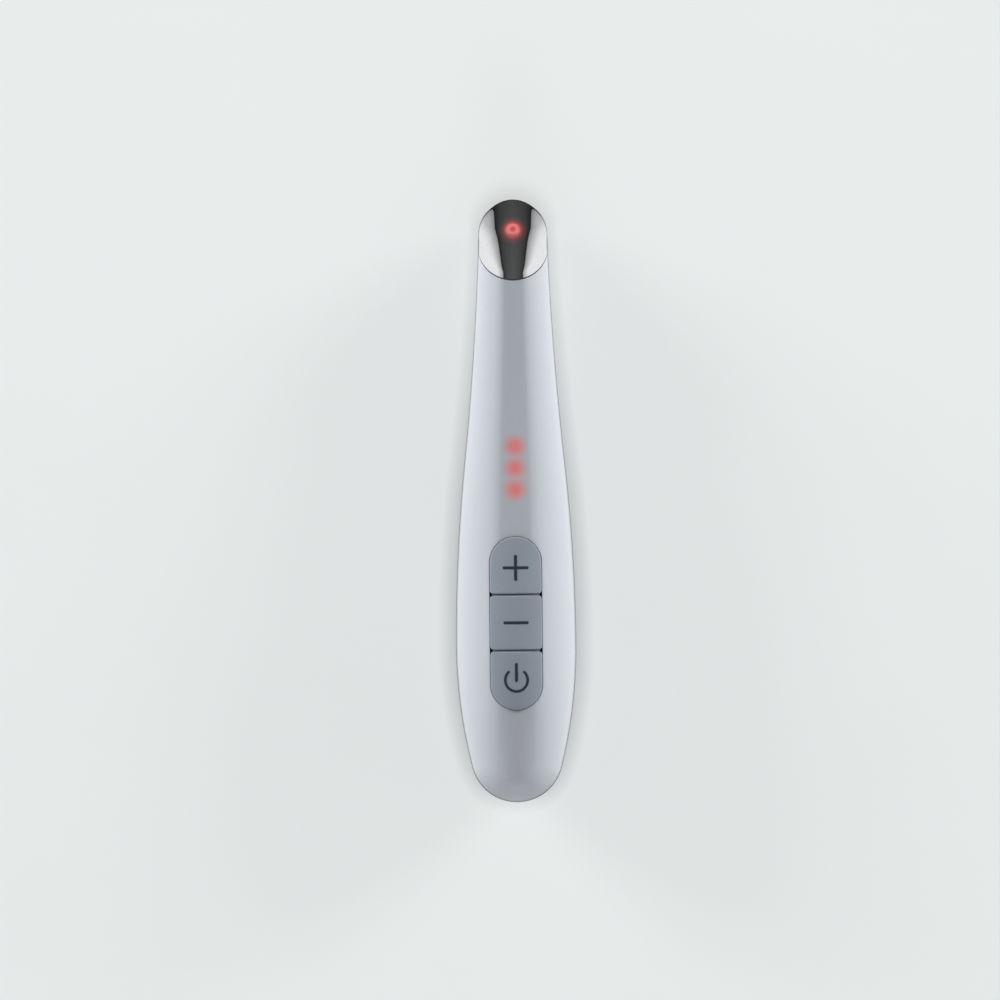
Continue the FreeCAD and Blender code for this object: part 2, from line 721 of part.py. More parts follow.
def make_switch(name, reach):
    case = block(f"{name}_case", "switch_width", f"{reach} - switch_width / 2", f"{reach} + switch_width / 2",
                 BOARD_TOP, f"{BOARD_TOP} + switch_height")
    well = post(f"{name}_well", "stem_diameter + 2 * stem_clearance", "0", reach,
                f"{BOARD_TOP} + switch_floor", "grip_depth")
    return cut(f"{name}_switch", case, well)


def make_stem(name, reach):
    return post(f"{name}_stem", "stem_diameter", "0", reach, f"{STEM_TOP} - stem_length", STEM_TOP)


def make_main_board():
    plate = block("board_plate", "board_width", BOARD_SHOULDER, BOARD_FRONT, BOARD_BOTTOM, BOARD_TOP)
    tab = block("board_tab", "board_tab_width", BOARD_TAIL, BOARD_SHOULDER, BOARD_BOTTOM, BOARD_TOP)
    holes = group("board_holes", *board_posts("board_hole", "screw_diameter + 2 * fit_gap",
                                              f"{BOARD_BOTTOM} - wall", f"{BOARD_TOP} + wall"))
    return cut("main_board", fuse("board_outline", plate, tab), holes)


def make_board_screws():
    shanks = board_posts("screw_shank", "screw_diameter", BOARD_BOTTOM, f"{BOARD_BOTTOM} + screw_length")
    heads = board_posts("screw_head", "screw_head_diameter", f"{BOARD_BOTTOM} - screw_head_height",
                        BOARD_BOTTOM)
    return group("board_screws", *[fuse(f"{shank.Name}_screw", shank, head)
                                   for shank, head in zip(shanks, heads)])


def light_blocks(name, room):
    """A small block at each indicator light, with some room round it."""
    blocks = []
    for label, step in LIGHTS:
        reach = f"(light_reach + ({step}) * light_pitch)"
        blocks.append(block(f"{name}_{label}", f"led_length + 2 * ({room})",
                            f"{reach} - led_width / 2 - ({room})", f"{reach} + led_width / 2 + ({room})",
                            BOARD_TOP, f"{BOARD_TOP} + led_height + ({room})"))
    return blocks


LIGHT_BAR_END = "(light_pitch + light_bar_width / 2)"


def make_light_guide():
    rail = block("light_rail", "light_bar_width", f"light_reach - {LIGHT_BAR_END}",
                 f"light_reach + {LIGHT_BAR_END}", BOARD_TOP, f"{BOARD_TOP} + light_bar_height")
    columns = common("light_columns", fuse("light_column_blank", *light_posts(
        "light_column", "light_diameter", f"{BOARD_TOP} + light_bar_height / 2", "grip_depth")), middle_fit)
    return cut("light_guide", fuse("light_solid", rail, columns), group("light_room", *light_blocks(
        "light_pocket", "led_room")))


def make_board_parts():
    """Small parts along both edges of the board, between the keys' switches."""
    parts = []
    rows = ("minus_reach + plus_reach", "minus_reach - power_back")
    for row, total in enumerate(rows):
        for side, sign in (("left", "-"), ("right", "")):
            reach = f"(({total}) / 2)"
            parts.append(block(f"chip_{row}_{side}", "chip_width", f"{reach} - chip_length / 2",
                               f"{reach} + chip_length / 2", BOARD_TOP, f"{BOARD_TOP} + chip_height",
                               f"{sign}chip_side"))
    return group("board_parts", *parts)


def make_battery_cell():
    blank = block("cell_blank", "cell_width", "-cell_back", CELL_FRONT, CELL_BOTTOM, CELL_TOP)

    def lengthwise(edge):
        first, last = edge.Vertexes[0].Point, edge.Vertexes[-1].Point
        return abs(first.y - last.y) > size("cell_thickness")

    return round_edges("battery_cell", blank, size("cell_round"), lengthwise)


def make_charge_port_shell():
    tube = port_slot("port_tube", "port_width", "port_height", PORT_MOUTH, PORT_BACK)
    mouth = port_slot("port_mouth", "port_width - 2 * port_metal", "port_height - 2 * port_metal",
                      f"{PORT_MOUTH} - wall", f"{PORT_BACK} + wall")
    return cut("charge_port_shell", tube, mouth)


def make_charge_port_core():
    plug_front = f"({PORT_BACK} - port_back_thickness)"
    plug = port_slot("port_plug", "port_width - 2 * port_metal", "port_height - 2 * port_metal",
                     plug_front, PORT_BACK)
    tongue = block("port_tongue", "port_tongue_width", f"{PORT_MOUTH} + port_tongue_setback",
                   f"{plug_front} + port_back_thickness / 2",
                   f"{PORT_LEVEL} - port_tongue_height / 2", f"{PORT_LEVEL} + port_tongue_height / 2")
    return fuse("charge_port_core", plug, tongue)


MOTOR_FRONT = f"({MOTOR_BACK} + motor_length)"
WEIGHT_BACK = f"({MOTOR_FRONT} + weight_stand)"


def make_motor_can():
    can = bar("can_blank", "motor_diameter", "0", "0", MOTOR_BACK, MOTOR_FRONT)
    bore = bar("can_bore", "shaft_diameter + 2 * shaft_clearance", "0", "0",
               f"{MOTOR_FRONT} - shaft_depth - shaft_clearance", f"{MOTOR_FRONT} + wall")
    return cut("motor_can", can, bore)


def make_motor_shaft():
    return bar("motor_shaft", "shaft_diameter", "0", "0", f"{MOTOR_FRONT} - shaft_depth",
               f"{MOTOR_FRONT} + shaft_length")


def make_motor_weight():
    """A half disc that hangs below the shaft, with a hub round it."""
    end = f"{WEIGHT_BACK} + weight_length"
    disc = bar("weight_disc", "weight_diameter", "0", "0", WEIGHT_BACK, end)
    lower = block("weight_lower", "weight_diameter", WEIGHT_BACK, end, "-weight_diameter", "0")
    hub = bar("weight_hub", "weight_hub", "0", "0", WEIGHT_BACK, end)
    bore = bar("weight_bore", "shaft_diameter", "0", "0", f"{WEIGHT_BACK} - wall", f"{end} + wall")
    return cut("motor_weight", fuse("weight_solid", common("weight_half", disc, lower), hub), bore)


def make_motor_sleeve():
    ends = (f"{RIB_MIDDLE} - sleeve_length / 2", f"{RIB_MIDDLE} + sleeve_length / 2")
    tube = bar("sleeve_blank", "motor_diameter + 2 * sleeve_wall", "0", "0", *ends)
    bore = bar("sleeve_hole", "motor_diameter", "0", "0", *ends)
    return cut("motor_sleeve", tube, bore)


def make_lead(name, x, bends):
    """A round lead along straight runs in a plane across the wand, with equal arcs at the bends."""
    points = [FreeCAD.Vector(x, y, value(AXIS) + z) for y, z in bends]
    edges = []
    start = points[0]
    for before, corner, after in zip(points, points[1:], points[2:]):
        reach = size("bend_share") * min((corner - before).Length, (after - corner).Length)
        into = (before - corner).normalize()
        onward = (after - corner).normalize()
        first, last = corner + into * reach, corner + onward * reach
        half_turn = (math.pi - into.getAngle(onward)) / 2
        sagitta = reach * math.tan(half_turn / 2)
        chord_middle = (first + last) * 0.5
        outward = (corner - chord_middle).normalize()
        middle_point = chord_middle + outward * sagitta * math.cos(half_turn)
        edges += [Part.LineSegment(start, first).toShape(), Part.Arc(first, middle_point, last).toShape()]
        start = last
    edges.append(Part.LineSegment(start, points[-1]).toShape())
    path = Part.Wire(edges)
    ring = Part.Wire(Part.makeCircle(size("lead_diameter") / 2, points[0], points[1] - points[0]))
    item = doc.addObject("Part::Feature", name)
    item.Shape = path.makePipeShell([ring], True, False)
    return item


def make_battery_leads():
    """Two leads from the cell's guard board up to the main board."""
    low = value(f"{CELL_TOP} - cell_thickness / 2")
    front = value(f"{CELL_FRONT} + guard_thickness")
    turn = front + size("cell_lead_run")
    bends = [(front, low), (turn, low), (turn, value(BOARD_BOTTOM))]
    return group("battery_leads", *[make_lead(f"cell_lead_{side}", sign * size("cell_lead_side"), bends)
                                    for side, sign in (("left", -1), ("right", 1))])


def make_motor_leads():
    """Two leads that lie on the board's front edge and enter the motor's back."""
    level = f"{BOARD_TOP} + lead_diameter / 2"
    return group("motor_leads", *[bar(f"motor_lead_{side}", "lead_diameter", f"{sign}motor_lead_spacing / 2",
                                      level, f"light_reach + {LIGHT_BAR_END} + motor_lead_gap",
                                      MOTOR_BACK)
                                  for side, sign in (("left", "-"), ("right", ""))])


def make_head_leads():
    """Two leads from the main board, past the motor, to the underside of the head board."""
    start = value(f"{BOARD_TOP} + lead_diameter / 2")
    crest = size("head_lead_level")
    lean = math.radians(value(LENS_TILT))
    drop = value(LENS_HEIGHT) - crest - size("lead_diameter") / 2
    end = value(LENS_REACH) + (drop * math.cos(lean) - value(HEAD_BOARD_BOTTOM)) / math.sin(lean)
    front = value(BOARD_FRONT)
    bends = [(front - size("head_lead_start"), start), (front - size("head_lead_climb"), start),
             (front - size("head_lead_crest"), crest), (end, crest)]
    return group("head_leads", *[make_lead(f"head_lead_{side}", sign * size("head_lead_side"), bends)
                                 for side, sign in (("left", -1), ("right", 1))])


def make_pieces():
    pieces = {
        "front_shell": make_front_shell(),
        "rear_shell": make_rear_shell(),
        "massage_head": make_massage_head(),
        "head_seal": make_head_seal(),
        "head_carrier": make_head_carrier(),
        "head_lens": make_head_lens(),
        "heater_ring": make_heater_ring(),
        "head_board": make_head_board(),
        "head_led": make_head_led(),
        "thermistor": make_thermistor(),
        "main_board": make_main_board(),
        "board_screws": make_board_screws(),
        "indicator_leds": group("indicator_leds", *light_blocks("indicator", "0")),
        "light_guide": make_light_guide(),
        "controller_chip": block("controller_chip", "controller_width",
                                 "-rear_post_back - controller_length / 2",
                                 "-rear_post_back + controller_length / 2",
                                 BOARD_TOP, f"{BOARD_TOP} + controller_height"),
        "charge_chip": block("charge_chip", "charger_width",
                             "-cell_back - charger_gap - charger_width", "-cell_back - charger_gap",
                             f"{BOARD_BOTTOM} - charger_height", BOARD_BOTTOM),
        "boost_coil": block("boost_coil", "coil_width",
                            "coil_reach - coil_width / 2", "coil_reach + coil_width / 2",
                            f"{BOARD_BOTTOM} - coil_height", BOARD_BOTTOM),
        "board_parts": make_board_parts(),
        "battery_cell": make_battery_cell(),
        "battery_foam": block("battery_foam", "foam_width",
                              f"({CELL_FRONT} - cell_back) / 2 - foam_length / 2",
                              f"({CELL_FRONT} - cell_back) / 2 + foam_length / 2", CELL_TOP, BOARD_BOTTOM),
        "battery_guard": block("battery_guard", "guard_width", CELL_FRONT, f"{CELL_FRONT} + guard_thickness",
                               f"{CELL_TOP} - cell_thickness / 2 - guard_height / 2",
                               f"{CELL_TOP} - cell_thickness / 2 + guard_height / 2"),
        "battery_leads": make_battery_leads(),
        "charge_port_shell": make_charge_port_shell(),
        "charge_port_core": make_charge_port_core(),
        "motor_can": make_motor_can(),
        "motor_shaft": make_motor_shaft(),
        "motor_weight": make_motor_weight(),
        "motor_sleeve": make_motor_sleeve(),
        "motor_leads": make_motor_leads(),
        "head_leads": make_head_leads(),
    }
    for name, (low, high, reach) in KEYS.items():
        pieces[f"{name}_key"] = make_key(name, low, high, reach)
        pieces[f"{name}_stem"] = make_stem(name, reach)
        pieces[f"{name}_switch"] = make_switch(name, reach)
    return pieces


def write_pieces(pieces):
    doc.recompute()
    failed = [item.Name for item in doc.Objects if "Invalid" in item.State or "Error" in item.State]
    for name, item in pieces.items():
        if item.Shape.isNull() or not item.Shape.isValid() or not item.Shape.Solids:
            failed.append(name)
    if failed:
        raise RuntimeError("these did not build: " + ", ".join(failed))
    os.makedirs("parts", exist_ok=True)
    for name, item in pieces.items():
        item.Label = name
        item.Shape.exportStep(f"parts/{name}.step")
        print(name, "solids", len(item.Shape.Solids), "volume", round(item.Shape.Volume, 2))


write_pieces(make_pieces())
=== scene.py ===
import json
import math

import bmesh
import bpy
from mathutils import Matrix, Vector
from mathutils.geometry import delaunay_2d_cdt


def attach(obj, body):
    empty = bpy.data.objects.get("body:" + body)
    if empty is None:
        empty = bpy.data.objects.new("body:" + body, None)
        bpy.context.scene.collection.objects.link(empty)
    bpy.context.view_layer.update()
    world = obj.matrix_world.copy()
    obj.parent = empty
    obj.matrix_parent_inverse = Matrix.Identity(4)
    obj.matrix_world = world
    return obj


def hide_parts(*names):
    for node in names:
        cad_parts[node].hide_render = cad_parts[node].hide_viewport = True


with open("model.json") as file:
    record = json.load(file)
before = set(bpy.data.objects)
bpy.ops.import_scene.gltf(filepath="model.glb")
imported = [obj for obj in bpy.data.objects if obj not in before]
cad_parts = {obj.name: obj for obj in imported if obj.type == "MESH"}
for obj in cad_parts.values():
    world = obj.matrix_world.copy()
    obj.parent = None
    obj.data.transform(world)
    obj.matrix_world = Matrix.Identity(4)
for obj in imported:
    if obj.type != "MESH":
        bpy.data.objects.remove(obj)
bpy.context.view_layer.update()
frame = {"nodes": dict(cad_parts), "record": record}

# Sizes in millimetres, the same as in the solids
MM = 0.001
GRIP_WIDTH = 28.9
GRIP_DEPTH = 24.0
TAIL_LENGTH = 37.6
TAIL_RADIUS = 11.1
TIP_REACH = 107.4
TIP_WIDTH = 15.9
NECK_RADIUS = 770.0
NECK_TAPER = math.radians(1.1)
OUTLINE_OVERRUN = 3.0
REST_FLAT = 1.1
AXIS = GRIP_DEPTH / 2 - REST_FLAT
WALL = 1.8
PARTING_GAP = 0.12
SEAM_REACH = TIP_REACH - 11.2
SEAM_TILT = math.radians(42.0)
SEAL_THICKNESS = 0.4
DOME_LENGTH = 19.0
DOME_HALF_WIDTH = 11.5
DOME_DROP = 3.0
DOME_LIFT = 0.15
LENS_REACH = TIP_REACH - 7.4
LENS_DIAMETER = 3.3
LENS_CLEARANCE = 0.05
PAD_LENGTH = 41.5
PAD_WIDTH = 12.4
PAD_REACH = 5.5
PLUS_SPLIT = 12.4
POWER_SPLIT = -1.0
KEY_GAP = 0.5
KEY_PROUD = 0.35
LIGHT_REACH = 42.8
LIGHT_PITCH = 5.17
PORT_LEVEL = -2.63
PORT_MOUTH = 3.0 - TAIL_LENGTH
PORT_SIZE = (9.24, 3.56)
RECESS_SIZE = (12.4, 6.6)
BOARD_TAIL = 5.2 - TAIL_LENGTH

# Sizes of the skins alone: the keys fill their opening more closely and have sharper edges
# than the solids, the head and the housing cover the edges of the seal, and the dome's edge
# is blended
KEY_CLEARANCE = 0.10
KEY_CORNER = 0.8
KEY_EDGE = 0.22
SEAL_COVER = 0.10
DOME_BLEND = 3.4
BLEND_RUN = 12.0

# Steps and limits of the mesh work
SMOOTH_ANGLE = math.radians(35)
SAME_POINT = 1e-6
HALVINGS = 28
TRIANGLES_INSIDE = 1


class Form:
    """The wand's oval form, a given distance inside its outer surface."""

    def __init__(self, inset):
        half = GRIP_WIDTH / 2 - inset
        neck = NECK_RADIUS + inset
        tail = TAIL_RADIUS - inset
        end = TIP_REACH + OUTLINE_OVERRUN
        self.flat = (GRIP_DEPTH / 2 - inset) / half
        self.neck = neck
        self.neck_x = TIP_WIDTH / 2 - inset + neck * math.cos(NECK_TAPER)
        self.neck_y = end + neck * math.sin(NECK_TAPER)
        across = self.neck_x - half
        self.belly = (across ** 2 + self.neck_y ** 2 - neck ** 2) / (2 * (neck - across))
        self.belly_x = half - self.belly
        self.belly_end = self.belly * math.sin(math.atan2(self.neck_y, across + self.belly))
        self.tail = tail
        self.tail_y = tail + inset - TAIL_LENGTH
        self.flank = (half ** 2 + self.tail_y ** 2 - tail ** 2) / (2 * (half - tail))
        self.flank_x = half - self.flank
        self.turn = math.atan2(self.tail_y, -self.flank_x)
        self.flank_end = self.tail_y + tail * math.sin(self.turn)

    def half_width_squared(self, y):
        if y > self.belly_end:
            return (self.neck_x - math.sqrt(self.neck ** 2 - (self.neck_y - y) ** 2)) ** 2
        if y > 0:
            return (self.belly_x + math.sqrt(self.belly ** 2 - y ** 2)) ** 2
        if y > self.flank_end:
            return (self.flank_x + math.sqrt(self.flank ** 2 - y ** 2)) ** 2
        return self.tail ** 2 - (y - self.tail_y) ** 2

    def half_width(self, y):
        return math.sqrt(max(self.half_width_squared(y), 0.0))

    def height(self, x, y):
        """Height of the front surface above the wand's axis."""
        return self.flat * math.sqrt(max(self.half_width_squared(y) - x * x, 0.0))

    def slope(self, point):
        """Gradient of x² + (z / flat)² - half width², which points out of the surface."""
        step = 0.01
        change = self.half_width_squared(point.y + step) - self.half_width_squared(point.y - step)
        return Vector((2 * point.x, -change / (2 * step), 2 * point.z / self.flat ** 2))


OUTER = Form(0.0)
KEYS_TOP = Form(-KEY_PROUD)
SEAM_NORMAL = Vector((0, math.sin(SEAM_TILT), math.cos(SEAM_TILT)))


def above_seam(point):
    """Distance of a point above the plane of the head's seam."""
    return (point - Vector((0, SEAM_REACH, 0))).dot(SEAM_NORMAL)


def limit(low, high, beyond):
    """The number between low and high up to which a test stays false."""
    for _ in range(HALVINGS):
        middle = (low + high) / 2
        if beyond(middle):
            high = middle
        else:
            low = middle
    return low


def smooth(mesh):
    mesh.shade_smooth()
    mesh.set_sharp_from_angle(angle=SMOOTH_ANGLE)


def finish_piece(name, bm, body, slot, material, *nodes):
    """Make a piece from a mesh in millimetres about the wand's axis, and let it ride."""
    bmesh.ops.recalc_face_normals(bm, faces=bm.faces)
    for vert in bm.verts:
        vert.co = (vert.co + Vector((0, 0, AXIS))) * MM
    mesh = bpy.data.meshes.new(name)
    bm.to_mesh(mesh)
    bm.free()
    piece = bpy.data.objects.new(name, mesh)
    bpy.context.collection.objects.link(piece)
    smooth(mesh)
    mesh.materials.append(material)
    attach(piece, body)
    if nodes:
        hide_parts(*nodes)
    return piece


def strip(bm, first, second):
    """Join two closed rows of points by faces."""
    count = len(first)
    for index in range(count):
        after = (index + 1) % count
        corners = [first[index], first[after], second[after], second[index]]
        bm.faces.new(list(dict.fromkeys(corners)))


def close_tube(bm, rows):
    """Join rows of points one after the other, and fill both ends."""
    for first, second in zip(rows, rows[1:]):
        strip(bm, first, second)
    bm.faces.new(rows[0])
    bm.faces.new(rows[-1])


def rounded_loop(half, low, high, low_radius, high_radius, corner_steps, side_steps):
    """Points round an upright rectangle whose lower and upper corners are rounded."""
    corners = (
        (half - high_radius, high - high_radius, high_radius, 0),
        (high_radius - half, high - high_radius, high_radius, 90),
        (low_radius - half, low + low_radius, low_radius, 180),
        (half - low_radius, low + low_radius, low_radius, 270),
    )
    arcs = []
    for x, y, radius, start in corners:
        arc = []
        for step in range(corner_steps + 1):
            angle = math.radians(start + 90 * step / corner_steps)
            arc.append(Vector((x + radius * math.cos(angle), y + radius * math.sin(angle))))
        arcs.append(arc)
    points = []
    for arc, following in zip(arcs, arcs[1:] + arcs[:1]):
        gap = following[0] - arc[-1]
        if gap.length < SAME_POINT:
            points += arc[:-1]
            continue
        points += arc
        points += [arc[-1] + gap * step / side_steps for step in range(1, side_steps)]
    return points


FIELD_STEPS = (32, 36)


def field_loop(grow):
    """The rounded key field, grown all round by a given amount."""
    half = PAD_WIDTH / 2 + grow
    low = PAD_REACH - PAD_LENGTH / 2 - grow
    high = PAD_REACH + PAD_LENGTH / 2 + grow
    return rounded_loop(half, low, high, half, half, *FIELD_STEPS)


def in_field(x, y, grow):
    """Whether a point lies in the key field, grown by a given amount."""
    run = (PAD_LENGTH - PAD_WIDTH) / 2
    beyond = max(abs(y - PAD_REACH) - run, 0.0)
    return math.hypot(x, beyond) < PAD_WIDTH / 2 + grow


# Housing: each half is a closed skin of quads with a stitched patch round the
# key opening or round the resting flat
TURNS = 84
ROW_STEP = 1.0
SEAM_ROWS_FROM = 78.0
SEAM_ROWS = 20
TAIL_ROWS = 26
TAIL_FILL_FROM = -28.0
TAIL_FILL_RUN = 5.0
TAIL_FILL = 4.4
LIP_ROUND = 0.10
LIP_STEPS = 4
LIP_REACH = 0.7
PATCH_REACH = 1.4


def wall_at(y):
    """Thickness of the housing, which fills the tail round the charging port."""
    share = min(max((TAIL_FILL_FROM - y) / TAIL_FILL_RUN, 0.0), 1.0)
    return WALL + TAIL_FILL * share * share * (3 - 2 * share)


def station_rows():
    """Reaches of the rows of the skin, from the tail to where the head's seam begins."""
    rows = []
    for step in range(1, TAIL_ROWS):
        angle = -math.pi / 2 + (OUTER.turn + math.pi / 2) * step / TAIL_ROWS
        rows.append(OUTER.tail_y + OUTER.tail * math.sin(angle))
    run = SEAM_ROWS_FROM - OUTER.flank_end
    count = round(run / ROW_STEP)
    rows += [OUTER.flank_end + run * step / count for step in range(count + 1)]
    return rows


def skin_point(y, share, side):
    """A point of one half of the skin; share runs from the right edge to the left one."""
    half = OUTER.half_width(y)
    edge = math.asin(PARTING_GAP / 2 / (half * OUTER.flat))
    angle = edge + (math.pi - 2 * edge) * share
    return Vector((half * math.cos(angle), y, side * half * OUTER.flat * math.sin(angle)))


def seam_end(share, side):
    """Reach at which a line of the skin meets the lower edge of the head's seal."""
    def past_seal(y):
        return above_seam(skin_point(y, share, side)) > SEAL_COVER - SEAL_THICKNESS
    return limit(SEAM_ROWS_FROM, TIP_REACH, past_seal)


def skin_grid(side):
    """Rows of points over one half of the housing."""
    shares = [turn / TURNS for turn in range(TURNS + 1)]
    tail_end = Vector((0, -TAIL_LENGTH, side * PARTING_GAP / 2))
    grid = [[tail_end] * (TURNS + 1)]
    for y in station_rows():
        grid.append([skin_point(y, share, side) for share in shares])
    ends = [seam_end(share, side) for share in shares]
    for step in range(1, SEAM_ROWS + 1):
        reach = step / SEAM_ROWS
        grid.append([skin_point(SEAM_ROWS_FROM + (end - SEAM_ROWS_FROM) * reach, share, side)
                     for share, end in zip(shares, ends)])
    return grid


class Skin:
    """A mesh whose every point knows its partner on the inside of the wall."""

    def __init__(self):
        self.bm = bmesh.new()
        self.inner = {}

    def add(self, point, inner):
        vert = self.bm.verts.new(point)
        self.inner[vert] = inner
        return vert

    def close(self):
        """Add the inside and the edges of the wall."""
        outer_faces = list(self.bm.faces)
        rims = [edge for edge in self.bm.edges if len(edge.link_faces) == 1]
        rims = [(edge.verts[0], edge.verts[1]) for edge in rims]
        partner = {vert: self.bm.verts.new(point) for vert, point in self.inner.items()}
        for face in outer_faces:
            self.bm.faces.new([partner[vert] for vert in reversed(face.verts)])
        for first, second in rims:
            self.bm.faces.new([first, second, partner[second], partner[first]])


def stitch(skin, border, ring, keep):
    """Fill the ground between a border of edges and a ring of points, seen from the front."""
    verts = list(dict.fromkeys([vert for edge in border for vert in edge])) + ring
    number = {vert: index for index, vert in enumerate(verts)}
    flat_points = [Vector((vert.co.x, vert.co.y)) for vert in verts]
    edges = [(number[first], number[second]) for first, second in border]
    edges += [(number[first], number[second]) for first, second in zip(ring, ring[1:] + ring[:1])]
    made = delaunay_2d_cdt(flat_points, edges, [], TRIANGLES_INSIDE, SAME_POINT)
    origin = [sources[0] for sources in made[3]]
    for face in made[2]:
        corners = [verts[origin[index]] for index in face]
        centre = sum((corner.co for corner in corners), Vector()) / len(corners)
        if keep(centre):
            skin.bm.faces.new(corners)


def add_grid(skin, side, removed):
    """Add the rows of a half, leave out the cells that touch the test, and return the border."""
    rows = []
    for row in skin_grid(side):
        verts = []
        for index, point in enumerate(row):
            if index and row[index - 1] == point:
                verts.append(verts[-1])
                continue
            if removed(point):
                verts.append(None)
                continue
            outward = OUTER.slope(point).normalized()
            verts.append(skin.add(point, point - outward * wall_at(point.y)))
        rows.append(verts)
    border = {}
    for lower, upper in zip(rows, rows[1:]):
        for index in range(TURNS):
            corners = [lower[index], lower[index + 1], upper[index + 1], upper[index]]
            if all(corners):
                skin.bm.faces.new(list(dict.fromkeys(corners)))
                continue
            for first, second in zip(corners, corners[1:] + corners[:1]):
                if first and second:
                    border[frozenset((first, second))] = (first, second)
    return list(border.values())


def lip_point(flat_point, drop):
    """A point of the key opening's rounded lip, and its partner under the wall."""
    top = OUTER.height(flat_point.x, flat_point.y)
    return (Vector((flat_point.x, flat_point.y, top - drop)),
            Vector((flat_point.x, flat_point.y, top - WALL - LIP_ROUND)))


def make_front_shell(material):
    skin = Skin()
    border = add_grid(skin, 1, lambda point: in_field(point.x, point.y, PATCH_REACH))
    profile = [(LIP_REACH, 0.0)]
    for step in range(LIP_STEPS + 1):
        angle = math.pi / 2 * step / LIP_STEPS
        profile.append((LIP_ROUND * (1 - math.sin(angle)), LIP_ROUND * (1 - math.cos(angle))))
    rings = []
    for grow, drop in profile:
        loop = field_loop(KEY_CLEARANCE + grow)
        rings.append([skin.add(*lip_point(point, drop)) for point in loop])
    lip_edge = KEY_CLEARANCE + LIP_REACH
    stitch(skin, border, rings[0], lambda centre: not in_field(centre.x, centre.y, lip_edge))
    for first, second in zip(rings, rings[1:]):
        strip(skin.bm, first, second)
    skin.close()
    return finish_piece("front_shell_skin", skin.bm, "housing", "pearl_plastic", material, "front_shell")


FLAT_STEPS = 96
FLAT_SEARCH = (-30, 45)
FLAT_SEARCH_PER_MM = 20
FLAT_MARGIN = 0.1


def flat_loop():
    """Outline of the resting flat on the back."""
    level = AXIS / OUTER.flat
    tries = range(FLAT_SEARCH[0] * FLAT_SEARCH_PER_MM, FLAT_SEARCH[1] * FLAT_SEARCH_PER_MM)
    reaches = [step / FLAT_SEARCH_PER_MM for step in tries]
    reaches = [y for y in reaches if OUTER.half_width(y) > level]
    middle = (max(reaches) + min(reaches)) / 2
    half = (max(reaches) - min(reaches)) / 2
    points = []
    for step in range(FLAT_STEPS):
        angle = 2 * math.pi * step / FLAT_STEPS
        y = middle + half * math.sin(angle)
        x = math.sqrt(max(OUTER.half_width_squared(y) - level ** 2, 0.0))
        points.append(Vector((math.copysign(x, math.cos(angle)), y, -AXIS)))
    return points


def make_rear_shell(material):
    skin = Skin()
    border = add_grid(skin, -1, lambda point: -point.z > AXIS - FLAT_MARGIN)
    ring = [skin.add(point, point + Vector((0, 0, WALL))) for point in flat_loop()]
    stitch(skin, border, ring, lambda centre: True)
    skin.close()
    return finish_piece("rear_shell_skin", skin.bm, "housing", "pearl_plastic", material, "rear_shell")


PORT_STEPS = (12, 8)
TUNNEL_DEPTH = 5.0


def port_prism(name, width, height, y_low, y_high):
    """A flat rounded bar that lies along the wand at the charging port's level."""
    bm = bmesh.new()
    loop = rounded_loop(width / 2, -height / 2, height / 2, height / 2, height / 2, *PORT_STEPS)
    rows = []
    for y in (y_low, y_high):
        row = [Vector((point.x, y, point.y + PORT_LEVEL + AXIS)) * MM for point in loop]
        rows.append([bm.verts.new(point) for point in row])
    close_tube(bm, rows)
    bmesh.ops.recalc_face_normals(bm, faces=bm.faces)
    mesh = bpy.data.meshes.new(name)
    bm.to_mesh(mesh)
    bm.free()
    cutter = bpy.data.objects.new(name, mesh)
    bpy.context.collection.objects.link(cutter)
    return cutter


def carve_port(*shells):
    """Cut the port's recess and its tunnel into the tail of both shells."""
    cutters = [
        port_prism("recess_cutter", *RECESS_SIZE, -2 * TAIL_LENGTH, PORT_MOUTH),
        port_prism("tunnel_cutter", *PORT_SIZE, -TAIL_LENGTH, BOARD_TAIL + TUNNEL_DEPTH),
    ]
    for shell in shells:
        for cutter in cutters:
            step = shell.modifiers.new(cutter.name, "BOOLEAN")
            step.operation = "DIFFERENCE"
            step.solver = "EXACT"
            step.object = cutter
        graph = bpy.context.evaluated_depsgraph_get()
        carved = bpy.data.meshes.new_from_object(shell.evaluated_get(graph))
        shell.modifiers.clear()
        shell.data = carved
        smooth(carved)
    for cutter in cutters:
        bpy.data.objects.remove(cutter)


# Massage head: the outer form and an ellipsoid dome, rounded where they meet
DOME_CENTRE = TIP_REACH - DOME_LENGTH
DOME_HEIGHT = OUTER.half_width(DOME_CENTRE) * OUTER.flat + DOME_DROP + DOME_LIFT
DOME_SCALE = (DOME_HALF_WIDTH, DOME_LENGTH, DOME_HEIGHT)
LENS_SHARE = (LENS_REACH - DOME_CENTRE) / DOME_LENGTH
LENS_ROOT = math.sqrt(1 - LENS_SHARE ** 2)
LENS_POINT = Vector((0, LENS_REACH, DOME_HEIGHT * LENS_ROOT - DOME_DROP))
LENS_TILT = math.atan(DOME_HEIGHT / DOME_LENGTH * LENS_SHARE / LENS_ROOT)
LENS_NORMAL = Vector((0, math.sin(LENS_TILT), math.cos(LENS_TILT)))
HEAD_DEPTH = 8.0
HEAD_CENTRE = LENS_POINT - LENS_NORMAL * HEAD_DEPTH
HEAD_TURNS = 120
HEAD_ROWS = 64
LEAST_SLOPE = 1e-6
LEAST_BLEND = 0.001
LENS_BORE = LENS_DIAMETER / 2 + LENS_CLEARANCE
BORE_ROUND = 0.16
BORE_STEPS = 3
BORE_DEPTH = 2.2

# Ranges in which the length of a ray through the head and its lean are sought
RAY_LENGTHS = (0.5, 2.4 * HEAD_DEPTH)
LEANS = (0.3, 2.6)


